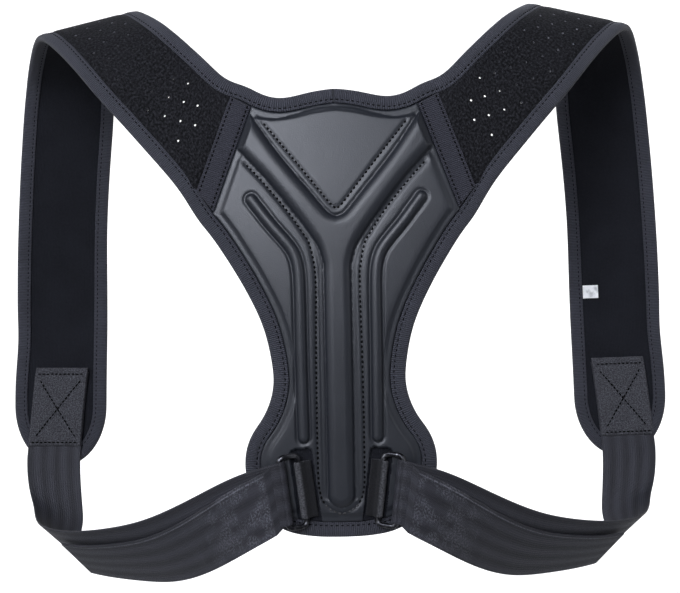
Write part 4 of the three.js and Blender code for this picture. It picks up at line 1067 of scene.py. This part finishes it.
# The side webbing: one length of satin nylon webbing from under the patch, down and back under the arm,
# round the ring and back over itself, where its hook cloth holds it to the first layer.
WEB_SAG = 56
TAIL_SHIFT = 13
WEB_LEAVES = 6
WEB_START = 3
WRAP = RING_WIRE / 2 + GAP + WEB_THICKNESS / 2
WAYS = "centre", "across", "outward"
WEB_TABLE = {
    "across": [1, 0.988, 0.967, 0.968, 0.926, 0.824, 0.703, 0.554, 0.431, 0.286, 0.133],
    "depth": [0.995, 0.972, 0.924, 0.842, 0.742, 0.65, 0.55, 0.424, 0.304, 0.152, 0.018],
    "sag": [0.2, 0.5, 0.71, 0.89, 0.93, 0.935, 0.89, 0.795, 0.65, 0.405, 0.125],
    "lean": [3.2, 12.7, 27.7, 49, 58, 60.5, 61, 62.5, 66, 69.5, 73],
    "yaw": [0, -1.4, -13, -31, -39, -39, -34, -25, -18, -9, -2],
}
TAIL_TABLE = {
    "back": [0.35, 0.8, 1.5, 2.5, 3.5, 4.5, 5.5, 6.5],
    "slip": [0.2, 0.38, 0.58, 0.78, 0.9, 0.96, 0.97, 0.9],
    "lift": [0.8, 0.42, 0.05, 0, 0, 0.08, 0.25, 0.5],
}


def eased(values, rounds):
    """Rows smoothed by repeated 1-2-1 averages, with both ends kept."""
    for _ in range(rounds):
        values = np.vstack([values[:1], (values[:-2] + 2 * values[1:-1] + values[2:]) / 4, values[-1:]])
    return values


def webbing_rows():
    """Rows of the webbing's route: two on the strap's end, then the table's, then the ring."""
    on_end = patch_frames(strap_length - np.array([2 * WEB_LEAVES, WEB_LEAVES], float))
    start = on_end["centre"] + WEB_OFFSET * on_end["outward"]
    end = start[-1]
    ring = outer_bar - WRAP * ring_out
    table = {key: np.array(values, float) for key, values in WEB_TABLE.items()}
    free = np.stack([
        ring[0] + (end[0] - ring[0]) * table["across"],
        ring[1] + (end[1] - ring[1]) * table["depth"],
        ring[2] + (end[2] - ring[2]) * table["across"] - table["sag"] * WEB_SAG,
    ], 1)
    points = np.vstack([start, free, ring])
    lean_on_end = STRAP_TABLE["lean"][-1]
    return {
        "x": points[:, 0], "y": points[:, 1], "z": points[:, 2],
        "lean": np.concatenate([[lean_on_end] * 2, table["lean"], [RING_LEAN]]),
        "yaw": np.concatenate([[0, 0], table["yaw"], [math.degrees(ring_yaw)]]),
        "width": np.full(len(points), float(WEB_WIDTH)),
    }


def webbing_path():
    """Centres, directions across and outward all along the webbing: on the strap, free, round the bar, and
    back over the first layer, slipping down across it."""
    rows = webbing_rows()
    last = len(rows["x"]) - 1
    start = strap_length - PATCH_END - PATCH_LENGTH + WEB_START
    held = patch_frames(np.linspace(start, strap_length - WEB_LEAVES, 24)[:-1])
    held["centre"] = held["centre"] + WEB_OFFSET * held["outward"]
    free_rows = np.linspace(1, last, 12 * last)
    free = ribbon_frames(rows, free_rows)
    free = {key: eased(free[key], 60) for key in WAYS}
    turn = np.linspace(0, math.pi, 20)[:, None]
    wrap_out = np.cos(turn) * ring_out + np.sin(turn) * ring_side
    wrap = {"centre": outer_bar - WRAP * wrap_out, "across": np.tile(ring_up, (20, 1)), "outward": wrap_out}
    t = np.linspace(0, len(TAIL_TABLE["back"]) - 1, 90)
    back = last - between(TAIL_TABLE["back"], t)
    tail = {key: read_at(back, free_rows, free[key]) for key in WAYS}
    free = {key: values[:-1] for key, values in free.items()}
    closest = WEB_THICKNESS + LAYER_GAP
    lift = closest + (2 * WRAP - closest) * np.clip(between(TAIL_TABLE["lift"], t), 0, None)
    tail["centre"] = tail["centre"] - (between(TAIL_TABLE["slip"], t) * TAIL_SHIFT)[:, None] * tail["across"]
    tail["centre"] = tail["centre"] + lift[:, None] * tail["outward"]
    tail["outward"] = -tail["outward"]
    joined = [np.vstack([part[key] for part in (held, free, wrap, tail)]) for key in WAYS]
    return joined, len(joined[0]) - len(t)


def webbing_finish(over_start):
    """Nylon webbing: a fine twill with lengthwise bands, satin. The layer laid back over the first has pale
    fuzzy patches near the ring, partly real fuzz and partly painted sheen, and has a pale thread along its
    upper edge."""
    finish = Finish("nylon webbing", Specular_IOR_Level=0.35, Sheen_Weight=0.03)
    both, across, along = finish.across_and_along()
    twill = (along + across * 0.7).wave(0.0011) * 0.5 + (along - across * 0.7).wave(0.0011) * 0.5
    cords = across.wave(0.0016)
    bands = across.wave(0.0095)
    fuzz = finish.noise(both, 0.0012, 5, 0.7)
    over = along.above(over_start * MM, over_start * MM + 0.002)
    near = over * (1 - along.above(over_start * MM + 0.02, over_start * MM + 0.085))
    # pale patches near the ring: real fuzz, painted paler as painted sheen
    brushed = near * finish.noise(both, 0.014, 3).above(0.4, 0.6)
    line = over * across.above(0.0166, 0.0169) * (1 - across.above(0.0174, 0.0177))
    pale = brushed * fuzz.above(0.45, 0.6) + line * fuzz.above(0.35, 0.55)
    shade = twill * 0.25 + cords * 0.1 + bands * 0.35 + fuzz * 0.3
    dark = finish.tint((0.002, 0.002, 0.003), (0.034, 0.034, 0.044), shade)
    finish.paint(dark, (0.13, 0.13, 0.15), pale * 0.65)
    finish.feed(Roughness=0.5 + fuzz * 0.2 - bands * 0.08)
    finish.relief(twill * 0.5 + cords * 0.3 + fuzz * 0.4, 0.0004)
    return finish.material


def webbing_piece(name):
    """Flat webbing along its path, with rounded selvedges."""
    (centre, across, outward), _ = webbing_path()
    share = closing_in(26) * WEB_WIDTH / 2
    thick = WEB_THICKNESS / 2 * (0.4 + 0.6 * rounded(WEB_WIDTH / 2 - np.abs(share), 0.9))
    middle = centre[:, None] + share[:, None] * across[:, None]
    off = thick[:, None] * outward[:, None]
    uv = flat_grid(share, run_length(centre)[:, None])
    return slab(name, middle + off, middle - off, uv, [woven_nylon])


(web_line, _, _), over_row = webbing_path()
woven_nylon = webbing_finish(run_length(web_line)[over_row])
pair("nylon_webbing", webbing_piece, "side_webbing")

# The care label: a small blank square of white satin, caught at one side inside the right strap.
LABEL_WIDTH = 11
LABEL_HEIGHT = 9.5
LABEL_THICKNESS = 0.4
LABEL_LIFT = 0.8
LABEL_CURL = 0.5
LABEL_FROM_END = 119


def label_finish():
    """White satin: faint crossing threads and soft creases, with painted grey shade in them."""
    finish = Finish("white satin", Roughness=0.55)
    both, across, along = finish.across_and_along()
    crease_and_painted_shade = finish.noise(both, 0.004, 2)
    # painted shade: the creases are painted grey
    finish.paint((0.5, 0.5, 0.49), (0.84, 0.84, 0.82), crease_and_painted_shade.above(0.3, 0.6))
    finish.relief(across.wave(0.0005) * 0.3 + along.wave(0.0005) * 0.3 + crease_and_painted_shade, 0.0002)
    return finish.material


middle = strap_length - LABEL_FROM_END
distance = np.linspace(middle - LABEL_HEIGHT / 2, middle + LABEL_HEIGHT / 2, 14)
frames = strap_frames(distance)
share = np.linspace(0, LABEL_WIDTH, 16)
across = -frames["width"][:, None] / 2 + BINDING_WIDTH + GAP + share
lower = np.broadcast_to(-LABEL_LIFT - LABEL_CURL * (share / LABEL_WIDTH) ** 2, across.shape)
label_sides = [on_strap(frames, across, lower - thick) for thick in (LABEL_THICKNESS, 0)]
label = slab("blank_label", *label_sides, flat_grid(share, distance[:, None]), [label_finish()])
fitted(label, "care_label")

# The stitching: black thread in every seam. Each stitch is a short rounded dash half sunk in the cloth, and
# each kind of seam has its own pitch, length and width.
COVER_STITCH = 3.0, 1.9, 1.35
PATCH_STITCH = 3.0, 2.3, 1.1
TAPE_STITCH = 2.8, 1.9, 1.0
BINDING_STITCH = 3.2, 1.9, 0.75
STITCH_LIFT = 0.12
FAR_FROM_RIM = 9.0
PALE_BELOW = 113
PALE_HALF_WIDTH = 11


def thread_finish(name, low, high):
    """Twisted thread, between two grey levels."""
    finish = Finish(name, Roughness=0.85, Specular_IOR_Level=0.08)
    place = finish.place()
    twist = finish.noise(place, 0.0004, 2)
    finish.paint((low, low, low), (high, high, high), twist)
    finish.relief(twist, 0.0001)
    return finish.material


def stitch_row(points, normals, pitch, length, width):
    """Equally spaced stitches along a line: their middles, and three directions scaled to a stitch."""
    run = run_length(points)
    at = np.arange(pitch / 2, run[-1], pitch)
    along = unit(read_at(at + 0.5, run, points) - read_at(at - 0.5, run, points))
    up = unit(read_at(at, run, normals))
    side = unit(np.cross(along, up))
    return read_at(at, run, points), along * length / 2, side * width / 2, up * width / 2


def stitches(name, rows, finish):
    """One mesh of all the stitches in some rows, each a low ellipsoid on its own three directions."""
    middle, along, side, up = (np.vstack(parts) for parts in zip(*rows))
    ring = np.linspace(0, 2 * math.pi, 7)[:-1]
    slices = np.array([-0.98, -0.6, 0, 0.6, 0.98])
    slices, girth = slices[:, None], np.sqrt(1 - slices**2)[:, None]
    unit_points = np.stack(np.broadcast_arrays(slices, girth * np.cos(ring), girth * np.sin(ring)), -1)
    axes = np.stack([along, side, up], 1)
    points = middle[:, None, None] + np.einsum("abk,nkc->nabc", unit_points, axes)
    index = numbered(len(middle), 5, 6)
    turn = np.roll(index, -1, 2)
    wall = np.stack([index[:, :-1], index[:, 1:], turn[:, 1:], turn[:, :-1]], -1).reshape(-1, 4)
    caps = [index[:, end][:, order] for end in (0, 4) for order in ([0, 1, 2, 3], [0, 3, 4, 5])]
    caps[0], caps[1] = caps[0][:, ::-1], caps[1][:, ::-1]
    return surface(name, points, np.vstack([wall, *caps]), np.zeros((index.size, 2)), [finish])


def both_sides(points, normals):
    """A line on the right and its mirror image on the left."""
    flip = np.array([-1, 1, 1])
    return [(points, normals), (points * flip, normals * flip)]


def cover_line(table):
    """A flat line on the cover, placed on its relief, for both sides of the panel."""
    x, z = resampled(shares_to_line(table, 6), 160).T
    rise = COVER_BASE + cover_relief(x, z, np.full_like(x, FAR_FROM_RIM)) + STITCH_LIFT
    return both_sides(over_panel(x, z, rise), panel_normal(x, z))


def patch_line(corners):
    """A line on the patch between corners given across it and along it, with the patch's outward normals."""
    across, along = resampled(np.array(corners, float), 60).T
    frames = patch_frames(strap_length - PATCH_END - PATCH_LENGTH + along)
    rise = np.full((60, 1), PATCH_OFFSET - PATCH_THICKNESS - 0.3)
    return on_strap(frames, across[:, None], rise)[:, 0], -frames["outward"]


black_thread = thread_finish("black thread", 0.0005, 0.004)
pale_thread = thread_finish("pale thread", 0.02, 0.09)
cover_lines = cover_line(V_STITCH) + cover_line(LOW_STITCH)
cover_rows = [stitch_row(*line, *COVER_STITCH) for line in cover_lines]
pale_rows = []
for number, row in enumerate(cover_rows):
    at_foot = (row[0][:, 2] < -PALE_BELOW) & (np.abs(row[0][:, 0]) < PALE_HALF_WIDTH)
    pale_rows.append([part[at_foot] for part in row])
    cover_rows[number] = [part[~at_foot] for part in row]
cover_stitches = stitches("cover_stitching", cover_rows, black_thread)
pale_stitches = stitches("pale_stitching", pale_rows, pale_thread)
patch_lines = [
    [(-16, 4.6), (16, 4.6)],
    [(-16, 53.5), (16, 53.5)],
    [(-14.5, 9), (14.5, 50)],
    [(14.5, 9), (-14.5, 50)],
]
patch_rows = [
    stitch_row(*line, *PATCH_STITCH) for corners in patch_lines for line in both_sides(*patch_line(corners))
]
patch_stitches = stitches("patch_stitching", patch_rows, black_thread)
tape_rows = []
for place in (TAPE_STITCH_INSET - TAPE_WIDTH / 2, TAPE_WIDTH / 2 - TAPE_STITCH_INSET):
    x, z = tape_flat(np.array([place]), 60)[0][:, 0].T
    lines = both_sides(over_panel(x, z, TAPE_BASE + TAPE_THICKNESS), panel_normal(x, z))
    tape_rows += [stitch_row(*line, *TAPE_STITCH) for line in lines]
tape_stitches = stitches("tape_stitching", tape_rows, black_thread)
outer_leg = BACKING_THICKNESS + GAP + BINDING_THICKNESS - 0.2
closed_edge = np.arange(len(edge) + 1) % len(edge)
binding_rows = []
for lift in (outer_leg, -EDGE + 0.25):
    line = edge + STITCH_INSET * edge_in + lift * edge_out
    binding_rows.append(stitch_row(line[closed_edge], edge_out[closed_edge], *BINDING_STITCH))
binding_stitches = stitches("binding_stitching", binding_rows, black_thread)
for piece in (cover_stitches, pale_stitches, patch_stitches, tape_stitches, binding_stitches):
    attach(piece, "root")

# The floor, light and camera: a pale floor that curves up into a wall all round, lit from within behind the
# part. A big soft light stands above and to the left in front, with weak ones beside and behind, and the
# camera takes the photograph's view from straight behind the wearer.
FLOOR_DEPTH = -330
STAGE_RADIUS = 2600
STAGE_CURVE = 500
WALL_HEIGHT = 2600
GLOW_START = 0.2
GLOW_FULL = 0.9
CAMERA_DISTANCE = 720
CAMERA_HEIGHT = 10.5
CAMERA_ASIDE = 1.2
CAMERA_ROLL = math.radians(1.1)
PHOTO_WIDTH = 680
FOCAL_PIXELS = 1200
SENSOR_WIDTH = 36
LIGHT_COLOUR = (0.85, 0.89, 1.0)
SURROUND_STRENGTH = 0.095


def floor_finish():
    """Pale matt paint, faintly uneven, that glows behind the part."""
    finish = Finish("pale floor", Roughness=0.9, Specular_IOR_Level=0.1, Emission_Strength=1.0)
    place = finish.place()
    finish.paint((0.42, 0.42, 0.42), (0.46, 0.46, 0.46), finish.noise(place, 0.5))
    depth = finish.node("SeparateXYZ", {}, [place], "Y")
    finish.feed(Emission_Color=finish.tint((0, 0, 0), (1, 1, 1), depth.above(GLOW_START, GLOW_FULL)))
    return finish.material


turn = np.linspace(0, 2 * math.pi, 97)
bend_up = np.linspace(0, math.pi / 2, 14)
flat_part = [0.01, *np.linspace(200, STAGE_RADIUS, 12)[:-1]]
curve = STAGE_RADIUS + STAGE_CURVE * np.sin(bend_up)
radius = np.concatenate([flat_part, curve, [STAGE_RADIUS + STAGE_CURVE]])[:, None]
rise = np.concatenate([np.zeros(12), STAGE_CURVE * (1 - np.cos(bend_up)), [WALL_HEIGHT]])[:, None]
bowl = np.stack(np.broadcast_arrays(radius * np.cos(turn), radius * np.sin(turn), FLOOR_DEPTH + rise), -1)
floor = surface("floor", bowl, quads(numbered(*bowl.shape[:2])), bowl[..., :2], [floor_finish()])


def soft_light(name, place, size, power, spread=180, aim=0):
    """Square area light of a size in metres at a place, spreading by degrees, turned to face the part or a
    point that lies so much above its middle."""
    data = bpy.data.lights.new(name, "AREA")
    data.spread = math.radians(spread)
    data.shape = "SQUARE"
    data.size = size
    data.energy = power
    data.color = LIGHT_COLOUR
    light = in_scene(name, data)
    light.location = place
    x, y, z = place
    light.rotation_euler = (math.atan2(math.hypot(x, y), z - aim), 0, math.atan2(x, -y))


soft_light("key", (-0.5, -1.6, 0.95), 1.3, 7.8, 56, 0.3)
soft_light("side_right", (1.4, -0.7, 0.45), 0.8, 0.9, 90)
soft_light("side_left", (-1.4, -0.7, 0.45), 0.8, 1.4, 90)
soft_light("behind", (0.2, 1.3, 1.1), 1.0, 10)
world = bpy.data.worlds.new("studio")
bpy.context.scene.world = world
world.use_nodes = True
surround = world.node_tree.nodes["Background"].inputs
surround["Color"].default_value = (*LIGHT_COLOUR, 1)
surround["Strength"].default_value = SURROUND_STRENGTH
bpy.context.scene.view_settings.view_transform = "Standard"
camera_data = bpy.data.cameras.new("camera")
camera_data.sensor_width = SENSOR_WIDTH
camera_data.lens = FOCAL_PIXELS / PHOTO_WIDTH * SENSOR_WIDTH
camera = in_scene("camera", camera_data)
camera.location = (CAMERA_ASIDE * MM, -CAMERA_DISTANCE * MM, CAMERA_HEIGHT * MM)
camera.rotation_euler = (math.pi / 2, CAMERA_ROLL, 0)
bpy.context.scene.camera = camera
